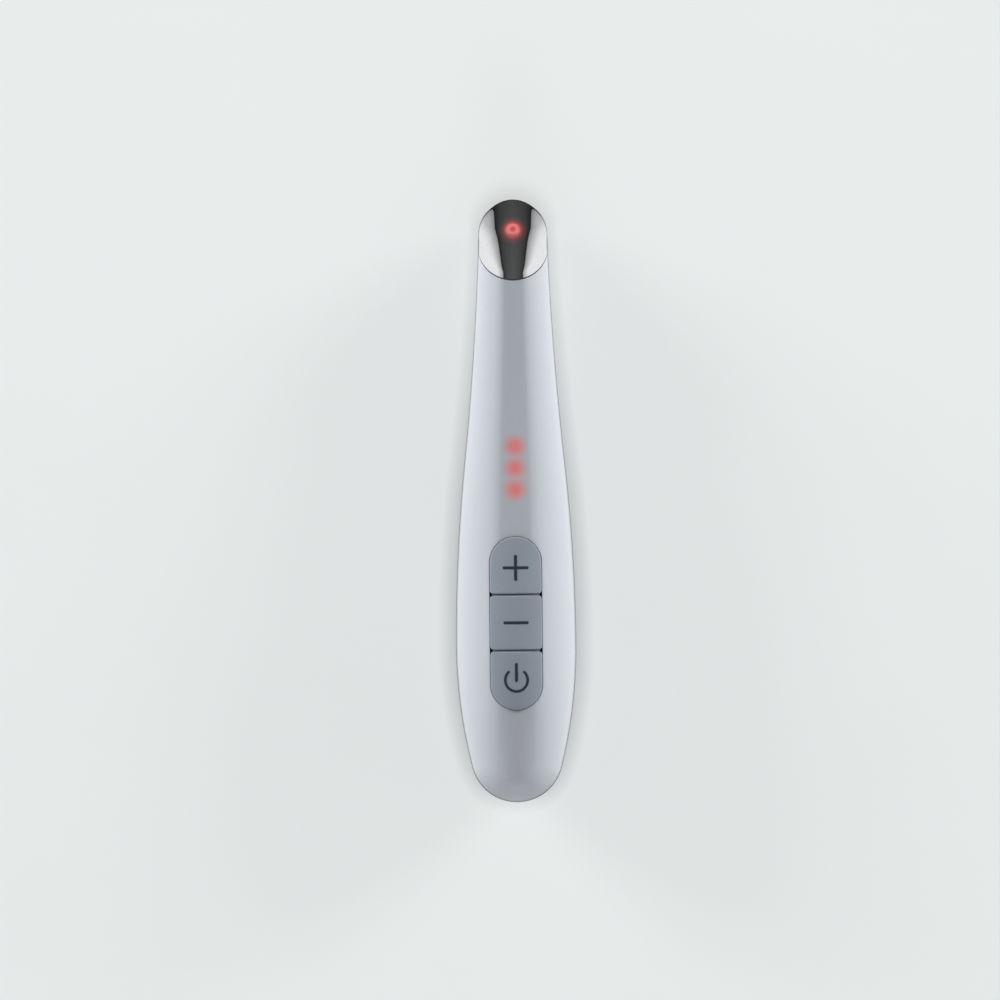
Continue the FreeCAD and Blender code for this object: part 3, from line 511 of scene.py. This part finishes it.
def head_distance(point):
    """Distance from the head's surface, negative inside.

    It is the larger of the distances from the outer form and from the dome, rounded over a
    reach that grows from the seam on.
    """
    slope = OUTER.slope(point)
    side = point.x ** 2 + (point.z / OUTER.flat) ** 2 - OUTER.half_width_squared(point.y)
    side /= max(slope.length, LEAST_SLOPE)
    offset = Vector((point.x, point.y - DOME_CENTRE, point.z + DOME_DROP))
    share = Vector([part / scale for part, scale in zip(offset, DOME_SCALE)])
    rise = Vector([2 * part / scale for part, scale in zip(share, DOME_SCALE)])
    dome = (share.length_squared - 1) / max(rise.length, LEAST_SLOPE)
    reach = DOME_BLEND * min(max(above_seam(point) / BLEND_RUN, LEAST_BLEND), 1.0)
    near = max(reach - abs(side - dome), 0.0) / reach
    return max(side, dome) + near * near * reach / 4


def head_point(turn, lean):
    """Where a ray from the middle of the head leaves it."""
    across = Vector((math.cos(turn), 0, 0)) + LENS_NORMAL.cross(Vector((1, 0, 0))) * math.sin(turn)
    ray = LENS_NORMAL * math.cos(lean) + across * math.sin(lean)
    length = limit(*RAY_LENGTHS, lambda reach: head_distance(HEAD_CENTRE + ray * reach) > 0)
    return HEAD_CENTRE + ray * length


def seam_lean(turn):
    """Lean of the ray that meets the head's lower edge."""
    return limit(*LEANS, lambda lean: above_seam(head_point(turn, lean)) <= -SEAL_COVER)


def bore_rows(rim):
    """Rows of points from the bottom of the lens's bore up over its rounded lip."""
    lip = []
    for step in range(1, BORE_STEPS + 1):
        angle = math.pi / 2 * step / BORE_STEPS
        lip.append((BORE_ROUND * math.sin(angle), BORE_ROUND * (1 - math.cos(angle))))
    lip.append((BORE_ROUND, BORE_DEPTH))
    rows = []
    for inward, drop in lip[::-1]:
        row = []
        for point in rim:
            offset = point - LENS_POINT
            radial = offset - LENS_NORMAL * offset.dot(LENS_NORMAL)
            row.append(point - radial.normalized() * inward - LENS_NORMAL * drop)
        rows.append(row)
    return rows


def make_massage_head(material):
    turns = [2 * math.pi * step / HEAD_TURNS for step in range(HEAD_TURNS)]
    first_lean = math.atan((LENS_BORE + BORE_ROUND) / HEAD_DEPTH)
    last_leans = [seam_lean(turn) for turn in turns]
    rows = []
    for step in range(HEAD_ROWS + 1):
        share = step / HEAD_ROWS
        rows.append([head_point(turn, first_lean + (last - first_lean) * share)
                     for turn, last in zip(turns, last_leans)])
    bm = bmesh.new()
    close_tube(bm, [[bm.verts.new(point) for point in row] for row in bore_rows(rows[0]) + rows])
    return finish_piece("massage_head_skin", bm, "housing", "chrome", material, "massage_head")


# Keys, the ribs between them and the signs on them. A key has its lower and upper end, and
# the radius of its lower and upper corners
KEYS = {
    "plus": (PLUS_SPLIT + KEY_GAP / 2, PAD_REACH + PAD_LENGTH / 2, KEY_CORNER, PAD_WIDTH / 2),
    "minus": (POWER_SPLIT + KEY_GAP / 2, PLUS_SPLIT - KEY_GAP / 2, KEY_CORNER, KEY_CORNER),
    "power": (PAD_REACH - PAD_LENGTH / 2, POWER_SPLIT - KEY_GAP / 2, PAD_WIDTH / 2, KEY_CORNER),
}
KEY_DEPTH = 3.2
KEY_SIDE = 1.2
KEY_EDGE_STEPS = 6
KEY_INSETS = (0.55, 0.8, 1.2, 1.8, 2.6, 3.5, 4.4, 5.3)
KEY_LEAST_CORNER = 0.02
KEY_STEPS = (16, 16)


def make_key(name, low, high, low_radius, high_radius, material):
    profile = [(0.0, KEY_DEPTH), (0.0, KEY_SIDE)]
    for step in range(KEY_EDGE_STEPS + 1):
        angle = math.pi / 2 * (1 - step / KEY_EDGE_STEPS)
        profile.append((KEY_EDGE * (1 - math.sin(angle)), KEY_EDGE * (1 - math.cos(angle))))
    profile += [(inset, 0.0) for inset in KEY_INSETS]
    bm = bmesh.new()
    rows = []
    for inset, drop in profile:
        low_corner = max(low_radius - inset, KEY_LEAST_CORNER)
        high_corner = max(high_radius - inset, KEY_LEAST_CORNER)
        loop = rounded_loop(PAD_WIDTH / 2 - inset, low + inset, high - inset,
                            low_corner, high_corner, *KEY_STEPS)
        rows.append([bm.verts.new((point.x, point.y, KEYS_TOP.height(point.x, point.y) - drop))
                     for point in loop])
    close_tube(bm, rows)
    return finish_piece(f"{name}_key_cap", bm, f"{name}_button", "grey_key", material, f"{name}_key")


RIBS = {"upper_key_rib": PLUS_SPLIT, "lower_key_rib": POWER_SPLIT}
RIB_WIDTH = 0.34
RIB_DROP = 0.3
RIB_DEPTH = 1.2
RIB_END_GAP = 0.5
RIB_HALF = PAD_WIDTH / 2 - RIB_END_GAP
RIB_STEPS = 24


def make_rib(name, y, material):
    """A low rib of the housing that stands between two keys; its dark grey is painted shade for the gap
    between them.
    """
    bm = bmesh.new()
    rows = []
    for step in range(RIB_STEPS + 1):
        x = RIB_HALF * (2 * step / RIB_STEPS - 1)
        top = KEYS_TOP.height(x, y) - RIB_DROP
        corners = ((-1, top), (1, top), (1, top - RIB_DEPTH), (-1, top - RIB_DEPTH))
        rows.append([bm.verts.new((x, y + side * RIB_WIDTH / 2, z)) for side, z in corners])
    close_tube(bm, rows)
    return finish_piece(name, bm, "housing", "dark_rubber", material)


SIGN_RISE = 0.03
SIGN_SINK = 0.25
BAR_STEPS = (5, 14)
RING_STEPS = 56
RING_END_STEPS = 6
PLUS_SIGN = dict(reach=18.83, length=6.25)
MINUS_SIGN = dict(reach=5.67, length=6.1)
POWER_BAR = dict(reach=-6.24, length=4.6)
POWER_RING = dict(reach=-8.08, radius=2.7, stroke=0.62, opening=math.radians(44))


def bar_loop(reach, length, stroke, upright):
    """Outline of a straight stroke with round ends."""
    loop = rounded_loop(stroke / 2, -length / 2, length / 2, stroke / 2, stroke / 2, *BAR_STEPS)
    if upright:
        return [Vector((point.x, reach + point.y)) for point in loop]
    return [Vector((-point.y, reach + point.x)) for point in loop]


def ring_loop(reach, radius, stroke, opening):
    """Outline of a ring stroke with round ends that is open at the top."""
    half = stroke / 2
    start = math.pi / 2 + opening
    stop = math.pi * 5 / 2 - opening
    shares = [step / RING_STEPS for step in range(RING_STEPS + 1)]
    ends = [math.pi * step / RING_END_STEPS for step in range(1, RING_END_STEPS)]
    points = [(radius + half, start + (stop - start) * share) for share in shares]
    points += [(radius + half * math.cos(turn), stop + half * math.sin(turn) / radius) for turn in ends]
    points += [(radius - half, stop + (start - stop) * share) for share in shares]
    points += [(radius - half * math.cos(turn), start - half * math.sin(turn) / radius) for turn in ends]
    return [Vector((out * math.cos(angle), reach + out * math.sin(angle))) for out, angle in points]


SIGNS = {
    "plus": [
        bar_loop(**PLUS_SIGN, stroke=0.72, upright=True),
        bar_loop(**PLUS_SIGN, stroke=0.68, upright=False),
    ],
    "minus": [bar_loop(**MINUS_SIGN, stroke=0.7, upright=False)],
    "power": [ring_loop(**POWER_RING), bar_loop(**POWER_BAR, stroke=0.66, upright=True)],
}


def make_sign(name, loops, material):
    """A sign let into the top of its key."""
    points, edges = [], []
    for loop in loops:
        first = len(points)
        points += loop
        edges += [(first + index, first + (index + 1) % len(loop)) for index in range(len(loop))]
    flat_points, _, faces = delaunay_2d_cdt(points, edges, [], TRIANGLES_INSIDE, SAME_POINT)[:3]
    bm = bmesh.new()
    verts = [bm.verts.new((point.x, point.y, KEYS_TOP.height(point.x, point.y) + SIGN_RISE))
             for point in flat_points]
    for face in faces:
        bm.faces.new([verts[index] for index in face])
    rims = [tuple(edge.verts) for edge in bm.edges if len(edge.link_faces) == 1]
    lower = {vert: bm.verts.new(vert.co - Vector((0, 0, SIGN_SINK))) for rim in rims for vert in rim}
    for first, second in rims:
        bm.faces.new([first, second, lower[second], lower[first]])
    return finish_piece(f"{name}_sign", bm, f"{name}_button", "black_plastic", material)


# Materials
class Graph:
    """Short calls for the nodes of a shader tree."""

    def __init__(self, tree):
        self.tree = tree

    def add(self, kind, *inputs, **settings):
        """Add a node with its settings, and feed its first inputs."""
        node = self.tree.nodes.new(kind)
        for setting, chosen in settings.items():
            setattr(node, setting, chosen)
        for socket, source in zip(node.inputs, inputs):
            self.feed(socket, source)
        return node

    def feed(self, socket, source):
        if isinstance(source, bpy.types.NodeSocket):
            self.tree.links.new(source, socket)
        else:
            socket.default_value = source

    def math(self, operation, *inputs):
        return self.add("ShaderNodeMath", *inputs, operation=operation).outputs[0]

    def between(self, factor, low, high, start=0.0, stop=1.0, fall="LINEAR"):
        """A number that goes from low to high while a factor goes from start to stop."""
        span = self.add("ShaderNodeMapRange", factor, start, stop, low, high, interpolation_type=fall)
        return span.outputs[0]

    def ramp(self, factor, *stops):
        """A colour that follows a factor through the given stops."""
        node = self.add("ShaderNodeValToRGB", factor)
        points = node.color_ramp.elements
        while len(points) < len(stops):
            points.new(1.0)
        for point, (position, colour) in zip(points, stops):
            point.position = position
            point.color = (*colour, 1.0)
        return node.outputs["Color"]


class Nodes(Graph):
    """A material with a Principled shader, and the nodes that feed it."""

    def __init__(self, name):
        self.material = bpy.data.materials.new(name)
        self.material.use_nodes = True
        super().__init__(self.material.node_tree)
        self.shader = self.tree.nodes["Principled BSDF"]

    def set(self, **values):
        for socket, number in values.items():
            self.shader.inputs[socket.replace("_", " ")].default_value = number

    def link(self, output, socket):
        self.tree.links.new(output, self.shader.inputs[socket])

    def place(self):
        return self.add("ShaderNodeTexCoord").outputs["Object"]

    def noise(self, per_mm, detail=2.0):
        node = self.add("ShaderNodeTexNoise", self.place())
        node.inputs["Scale"].default_value = per_mm / MM
        node.inputs["Detail"].default_value = detail
        return node.outputs["Fac"]

    def cells(self, per_mm):
        node = self.add("ShaderNodeTexVoronoi", self.place())
        node.inputs["Scale"].default_value = per_mm / MM
        return node.outputs["Color"]

    def bump(self, height, depth, strength=1.0):
        """Relief of a given depth in millimetres."""
        node = self.add("ShaderNodeBump")
        self.feed(node.inputs["Height"], height)
        node.inputs["Strength"].default_value = strength
        node.inputs["Distance"].default_value = depth * MM
        self.link(node.outputs["Normal"], "Normal")

    def tint(self, factor, dark, light, start=0.3, stop=0.7):
        """Base colour that goes from dark to light with a factor."""
        self.link(self.ramp(factor, (start, dark), (stop, light)), "Base Color")

    def distance(self, centre, scale=(1, 1, 1)):
        """Distance in millimetres from a point given about the wand's axis."""
        shift = self.add("ShaderNodeVectorMath", self.place(), operation="SUBTRACT")
        shift.inputs[1].default_value = (Vector(centre) + Vector((0, 0, AXIS))) * MM
        stretch = self.add("ShaderNodeVectorMath", shift.outputs[0], operation="MULTIPLY")
        stretch.inputs[1].default_value = Vector(scale) / MM
        return self.add("ShaderNodeVectorMath", stretch.outputs[0], operation="LENGTH").outputs["Value"]


GRAIN_DETAIL = 3.0
GRAIN_GLOSS = 0.15


def grained(name, colour, roughness, per_mm, spread=0.12, depth=0.01, metallic=0.0):
    """A plain moulded or metal surface with fine grain in its colour, gloss and relief."""
    nodes = Nodes(name)
    noise = nodes.noise(per_mm, GRAIN_DETAIL)
    dark = [channel * (1 - spread) for channel in colour]
    light = [min(channel * (1 + spread), 1.0) for channel in colour]
    nodes.tint(noise, dark, light)
    rough = (roughness * (1 - GRAIN_GLOSS), min(roughness * (1 + GRAIN_GLOSS), 1.0))
    nodes.link(nodes.between(noise, *rough), "Roughness")
    nodes.set(Metallic=metallic)
    nodes.bump(noise, depth)
    return nodes.material


PEARL_DARK = (0.415, 0.442, 0.488)
PEARL_LIGHT = (0.443, 0.470, 0.520)
PEARL_STOPS = (0.2, 0.8)
PEARL_ROUGHNESS = (0.10, 0.16)
FLAKES_PER_MM = 7.0
FLAKE_SHARE = 0.6
CLOUDS_PER_MM = 0.08
RIPPLES_PER_MM = 1.6
RIPPLE_DEPTH = 0.0012
GLOW_CORE = 0.2
GLOW_EDGE = 3.9
# Painted light: the glow of the three lights is a red base colour and a red emission painted on the
# front shell
PAINTED_GLOW_TINT = (0.42, 0.115, 0.110)
PAINTED_GLOW_LIGHT = (0.255, 0.085, 0.085)
UNLIT = (0.0, 0.0, 0.0)


def indicator_glow(nodes):
    """Strength of the painted glow of the three lights that shine through the front, from 0 to 1."""
    glow = 0.0
    for step in (-1, 0, 1):
        y = LIGHT_REACH + step * LIGHT_PITCH
        spot = nodes.distance((0, y, OUTER.height(0, y)), (1, 1, 0))
        near = nodes.between(spot, 0.0, 1.0, GLOW_EDGE, GLOW_CORE, "SMOOTHSTEP")
        glow = nodes.math("MAXIMUM", glow, near)
    height = nodes.add("ShaderNodeSeparateXYZ", nodes.place()).outputs["Z"]
    on_front = nodes.math("GREATER_THAN", height, AXIS * MM)
    return nodes.math("MULTIPLY", glow, on_front)


def pearl(name, with_lights):
    """Glossy silver-white moulding with a fine pearl flake; the front one has the glow of three lights
    painted into its colour and emission.
    """
    nodes = Nodes(name)
    flakes = nodes.add("ShaderNodeSeparateColor", nodes.cells(FLAKES_PER_MM)).outputs[0]
    cloud = nodes.math("MULTIPLY", nodes.noise(CLOUDS_PER_MM), 1 - FLAKE_SHARE)
    shade = nodes.math("MULTIPLY_ADD", flakes, FLAKE_SHARE, cloud)
    nodes.tint(shade, PEARL_DARK, PEARL_LIGHT, *PEARL_STOPS)
    nodes.link(nodes.between(flakes, *PEARL_ROUGHNESS), "Roughness")
    nodes.set(IOR=2.0, Coat_Weight=1.0, Coat_Roughness=0.04)
    nodes.bump(nodes.noise(RIPPLES_PER_MM, detail=1.0), RIPPLE_DEPTH)
    if with_lights:
        # Painted light: where the lights are, the shell's colour turns red and it emits red light
        glow = indicator_glow(nodes)
        moulding = nodes.shader.inputs["Base Color"].links[0].from_socket
        lit = nodes.add("ShaderNodeMix", data_type="RGBA")
        nodes.feed(lit.inputs["Factor"], glow)
        nodes.feed(lit.inputs["A"], moulding)
        nodes.feed(lit.inputs["B"], (*PAINTED_GLOW_TINT, 1.0))
        nodes.link(lit.outputs["Result"], "Base Color")
        nodes.link(nodes.ramp(glow, (0.0, UNLIT), (1.0, PAINTED_GLOW_LIGHT)), "Emission Color")
        nodes.set(Emission_Strength=1.0)
    return nodes.material


CHROME_DARK = (0.86, 0.87, 0.89)
CHROME_LIGHT = (0.90, 0.91, 0.93)
CHROME_ROUGHNESS = (0.025, 0.05)
HAZE_PER_MM = 0.6
HALO_EDGE = 4.2

# Painted red light on the chrome, from the edge of its halo to the rim of the lens
PAINTED_RED_HALO = (
    (0.00, UNLIT),
    (0.25, (0.014, 0.001, 0.001)),
    (0.50, (0.045, 0.002, 0.002)),
    (0.77, (0.105, 0.006, 0.006)),
    (1.00, (0.270, 0.030, 0.030)),
)


def chrome_with_painted_glow():
    """Mirror-bright metal with the head light's red glow painted round its lens."""
    nodes = Nodes("chrome_with_painted_glow")
    haze = nodes.noise(HAZE_PER_MM)
    nodes.tint(haze, CHROME_DARK, CHROME_LIGHT)
    nodes.link(nodes.between(haze, *CHROME_ROUGHNESS), "Roughness")
    nodes.set(Metallic=1.0, Emission_Strength=1.0)
    # Painted light: the lens's red glow on the chrome is an emission that fades away from the lens
    away = nodes.distance(LENS_POINT)
    near = nodes.between(away, 0.0, 1.0, HALO_EDGE, LENS_DIAMETER / 2, "SMOOTHSTEP")
    nodes.link(nodes.ramp(near, *PAINTED_RED_HALO), "Emission Color")
    return nodes.material


LENS_DARK = (0.15, 0.012, 0.012)
LENS_PALE = (0.19, 0.018, 0.018)
FACETS_PER_MM = 1.4

# Red light of the lens, from its middle to its rim; the pale ring is a painted highlight
LENS_LIGHT_AND_HIGHLIGHT = (
    (0.00, (0.34, 0.050, 0.050)),
    (0.35, (0.38, 0.066, 0.066)),
    (0.66, (0.58, 0.215, 0.215)),
    (0.82, (0.48, 0.150, 0.150)),
    (1.00, (0.27, 0.075, 0.075)),
)


def lens_glow():
    """The lit red lens: a pale ring of painted highlight round a deeper red middle."""
    nodes = Nodes("lit_red_lens")
    share = nodes.between(nodes.distance(LENS_POINT), 0.0, 1.0, 0.0, LENS_DIAMETER / 2)
    nodes.tint(nodes.noise(FACETS_PER_MM, detail=1.0), LENS_DARK, LENS_PALE)
    nodes.link(nodes.ramp(share, *LENS_LIGHT_AND_HIGHLIGHT), "Emission Color")
    nodes.set(Emission_Strength=1.0, Roughness=0.12, Coat_Weight=0.5)
    return nodes.material


KEY_DARK = (0.245, 0.280, 0.326)
KEY_LIGHT = (0.264, 0.299, 0.345)
KEY_ROUGHNESS = (0.48, 0.6)
KEY_GRAIN_PER_MM = 6.0
KEY_GRAIN_SHARE = 0.5
KEY_GRAIN_DEPTH = 0.012
KEY_CLOUDS_PER_MM = 0.12


def key_rubber():
    """Soft matte grey moulding with a fine even grain."""
    nodes = Nodes("soft_grey_key")
    grain = nodes.noise(KEY_GRAIN_PER_MM, GRAIN_DETAIL)
    cloud = nodes.math("MULTIPLY", nodes.noise(KEY_CLOUDS_PER_MM), 1 - KEY_GRAIN_SHARE)
    nodes.tint(nodes.math("MULTIPLY_ADD", grain, KEY_GRAIN_SHARE, cloud), KEY_DARK, KEY_LIGHT)
    nodes.link(nodes.between(grain, *KEY_ROUGHNESS), "Roughness")
    nodes.set(IOR=1.4)
    nodes.bump(grain, KEY_GRAIN_DEPTH, strength=0.5)
    return nodes.material


# Painted shade: the rib's dark grey gives the dark line of the gap between the keys
RIB_AND_GAP_SHADE_LOOK = dict(colour=(0.120, 0.138, 0.160), roughness=0.6, per_mm=5.0, depth=0.006)
SIGN_LOOK = dict(colour=(0.022, 0.032, 0.048), roughness=0.45, per_mm=5.0, spread=0.2, depth=0.004)
SLOT_LOOKS = {
    "dark_rubber": dict(colour=(0.065, 0.067, 0.072), roughness=0.7, per_mm=4.0),
    "black_plastic": dict(colour=(0.020, 0.020, 0.022), roughness=0.45, per_mm=3.0, depth=0.008),
    "red_light": dict(colour=(0.75, 0.06, 0.05), roughness=0.25, per_mm=2.0, depth=0.004),
    "ceramic_white": dict(colour=(0.80, 0.79, 0.76), roughness=0.5, per_mm=5.0, depth=0.006),
    "circuit_board": dict(colour=(0.02, 0.16, 0.07), roughness=0.38, per_mm=1.2, spread=0.25),
    "steel": dict(colour=(0.60, 0.61, 0.62), roughness=0.28, per_mm=2.5, metallic=1.0, depth=0.003),
    "clear_plastic": dict(colour=(0.80, 0.83, 0.86), roughness=0.15, per_mm=0.8, depth=0.002),
    "cell_foil": dict(colour=(0.72, 0.73, 0.75), roughness=0.32, per_mm=0.7, metallic=0.9, depth=0.02),
    "foam": dict(colour=(0.06, 0.06, 0.065), roughness=0.95, per_mm=3.0, spread=0.4, depth=0.08),
    "red_insulation": dict(colour=(0.45, 0.02, 0.02), roughness=0.4, per_mm=2.0, depth=0.004),
}


def dress_inner_nodes():
    """Give every solid that no skin stands for its slot's material."""
    looks = {slot: grained(slot, **look) for slot, look in SLOT_LOOKS.items()}
    looks["red_lens"] = lens_glow()
    for part in frame["record"]["subparts"]:
        look = looks.get(part["material_slot"])
        if look is None:
            continue
        mesh = frame["nodes"][part["node"]].data
        mesh.materials.clear()
        mesh.materials.append(look)


# Camera straight above the wand: the span is the width of the view at the wand's axis, and
# the view's depth is in metres
PHOTO_SPAN = 240.46
LENS_FOCAL = 450.0
SENSOR = 36.0
VIEW_CENTRE = (-3.6, 35.1)
VIEW_TURN = math.radians(-0.47)
VIEW_DEPTH = 50.0


def make_camera():
    camera = bpy.data.cameras.new("camera")
    camera.lens = LENS_FOCAL
    camera.sensor_width = SENSOR
    camera.clip_end = VIEW_DEPTH
    stand = bpy.data.objects.new("camera", camera)
    bpy.context.collection.objects.link(stand)
    distance = PHOTO_SPAN * LENS_FOCAL / SENSOR
    stand.location = Vector((*VIEW_CENTRE, AXIS + distance)) * MM
    stand.rotation_euler = (0, 0, VIEW_TURN)
    bpy.context.scene.camera = stand


# Pale floor in metres: its lift to white is shaded close to the object, and the floor stays
# out of the gloss, which keeps the head's tip and the outline as dark as in the photograph
FLOOR_SIDE = 4.0
FLOOR_DARK = (0.290, 0.302, 0.300)
FLOOR_PALE = (0.300, 0.312, 0.310)
FLOOR_CLOUDS_PER_MM = 0.02
FLOOR_TINT = (0.965, 1.0, 0.995)
FLOOR_LIFT = 0.56
CONTACT_REACH = 0.008


def floor_material():
    nodes = Nodes("pale_floor")
    nodes.tint(nodes.noise(FLOOR_CLOUDS_PER_MM), FLOOR_DARK, FLOOR_PALE)
    nodes.set(Roughness=0.9, Emission_Color=(*FLOOR_TINT, 1.0))
    path = nodes.add("ShaderNodeLightPath")
    seen = nodes.math("ADD", path.outputs["Is Camera Ray"], path.outputs["Is Glossy Ray"])
    seen = nodes.math("MAXIMUM", seen, path.outputs["Is Transmission Ray"])
    # Painted contact shade: ambient occlusion darkens the floor's lift close to the object
    painted_contact_shade = nodes.add("ShaderNodeAmbientOcclusion")
    painted_contact_shade.inputs["Distance"].default_value = CONTACT_REACH
    lift = nodes.math("MULTIPLY", painted_contact_shade.outputs["AO"], FLOOR_LIFT)
    nodes.link(nodes.math("MULTIPLY", seen, lift), "Emission Strength")
    return nodes.material


def make_floor():
    bm = bmesh.new()
    bmesh.ops.create_grid(bm, x_segments=2, y_segments=2, size=FLOOR_SIDE / 2)
    mesh = bpy.data.meshes.new("floor")
    bm.to_mesh(mesh)
    bm.free()
    mesh.materials.append(floor_material())
    floor = bpy.data.objects.new("floor", mesh)
    floor.visible_glossy = False
    bpy.context.collection.objects.link(floor)


# The studio round the object, in shares of a unit heading: pale walls that leave a dark strip
# overhead and beyond the head, an even grey beyond the tail, and less light from below. The
# gloss shows these walls, because the dark wedge on the chrome is the strip's reflection
PALE = 0.78
STRIP_HALF = 0.40
STRIP_FLARE = 0.42
STRIP_CLOSE = 0.17
CLOSE_BELOW = 0.5
EDGE_SPREAD = 0.3
DARK_BELOW = (-0.92, -0.80)
BELOW_LEVEL = 0.35
TAIL_FADE = (-0.05, -0.55)
TAIL_WALL = 0.42

# Brightness from the middle of the strip, over its edge at one half, to the walls
WALLS = (
    (0.000, 0.090),
    (0.250, 0.070),
    (0.400, 0.050),
    (0.480, 0.022),
    (0.497, 0.015),
    (0.503, 0.250),
    (0.565, 0.420),
    (0.650, 0.580),
    (0.740, 0.740),
    (0.825, 0.840),
    (1.000, 0.880),
)


def wall_levels(graph, heading):
    """Brightness of the walls by heading."""
    across = graph.math("ABSOLUTE", heading.outputs["X"])
    along = graph.math("ABSOLUTE", heading.outputs["Y"])
    drop = graph.math("MAXIMUM", graph.math("SUBTRACT", CLOSE_BELOW, heading.outputs["Z"]), 0.0)
    edge = graph.math("MULTIPLY_ADD", along, STRIP_FLARE, STRIP_HALF)
    edge = graph.math("MULTIPLY_ADD", drop, -STRIP_CLOSE, edge)
    spread = graph.math("ADD", along, EDGE_SPREAD)
    beside = graph.math("DIVIDE", graph.math("SUBTRACT", across, edge), spread)
    walls = graph.ramp(graph.math("MULTIPLY_ADD", beside, 0.5, 0.5),
                       *[(position, (level, level, level)) for position, level in WALLS])
    behind = graph.between(heading.outputs["Y"], 0.0, 1.0, *TAIL_FADE, "SMOOTHSTEP")
    return graph.between(behind, walls, TAIL_WALL)


def make_studio():
    world = bpy.data.worlds.new("studio")
    bpy.context.scene.world = world
    world.use_nodes = True
    graph = Graph(world.node_tree)
    graph.tree.nodes.clear()
    heading = graph.add("ShaderNodeSeparateXYZ", graph.add("ShaderNodeTexCoord").outputs["Generated"])
    from_below = graph.between(heading.outputs["Z"], BELOW_LEVEL, 1.0, *DARK_BELOW)
    studio = graph.add("ShaderNodeBackground", wall_levels(graph, heading), from_below)
    backdrop = graph.add("ShaderNodeBackground", (PALE, PALE, PALE, 1.0), 1.0)
    seen = graph.add("ShaderNodeLightPath").outputs["Is Camera Ray"]
    mixed = graph.add("ShaderNodeMixShader", seen, studio.outputs[0], backdrop.outputs[0])
    graph.add("ShaderNodeOutputWorld", mixed.outputs[0])


# Soft lamps that light the object without showing in its gloss: place, watts and side in metres
LAMPS = {
    "left_lamp": ((-1.40, 1.00, 0.21), 53.0, 0.7),
    "right_lamp": ((1.40, 0.98, 0.21), 53.0, 0.7),
    "tail_lamp": ((0.0, -1.50, 0.38), 10.0, 0.7),
}
LAMP_AIM = Vector((0, 0.035, 0))


def make_lamps():
    for name, (place, watts, side) in LAMPS.items():
        lamp = bpy.data.lights.new(name, "AREA")
        lamp.energy = watts
        lamp.size = side
        stand = bpy.data.objects.new(name, lamp)
        bpy.context.collection.objects.link(stand)
        stand.location = place
        stand.rotation_euler = (LAMP_AIM - Vector(place)).to_track_quat("-Z", "Y").to_euler()
        stand.visible_glossy = False


def make_pieces():
    front = make_front_shell(pearl("pearl_front", True))
    rear = make_rear_shell(pearl("pearl_rear", False))
    carve_port(front, rear)
    make_massage_head(chrome_with_painted_glow())
    rubber = key_rubber()
    ink = grained("sign_lacquer", **SIGN_LOOK)
    for name, sizes in KEYS.items():
        make_key(name, *sizes, rubber)
        make_sign(name, SIGNS[name], ink)
    dark_rubber = grained("dark_grey_rib_with_painted_gap_shade", **RIB_AND_GAP_SHADE_LOOK)
    for name, split in RIBS.items():
        make_rib(name, split, dark_rubber)
    dress_inner_nodes()


bpy.context.scene.view_settings.view_transform = "Standard"
make_camera()
make_floor()
make_studio()
make_lamps()
make_pieces()
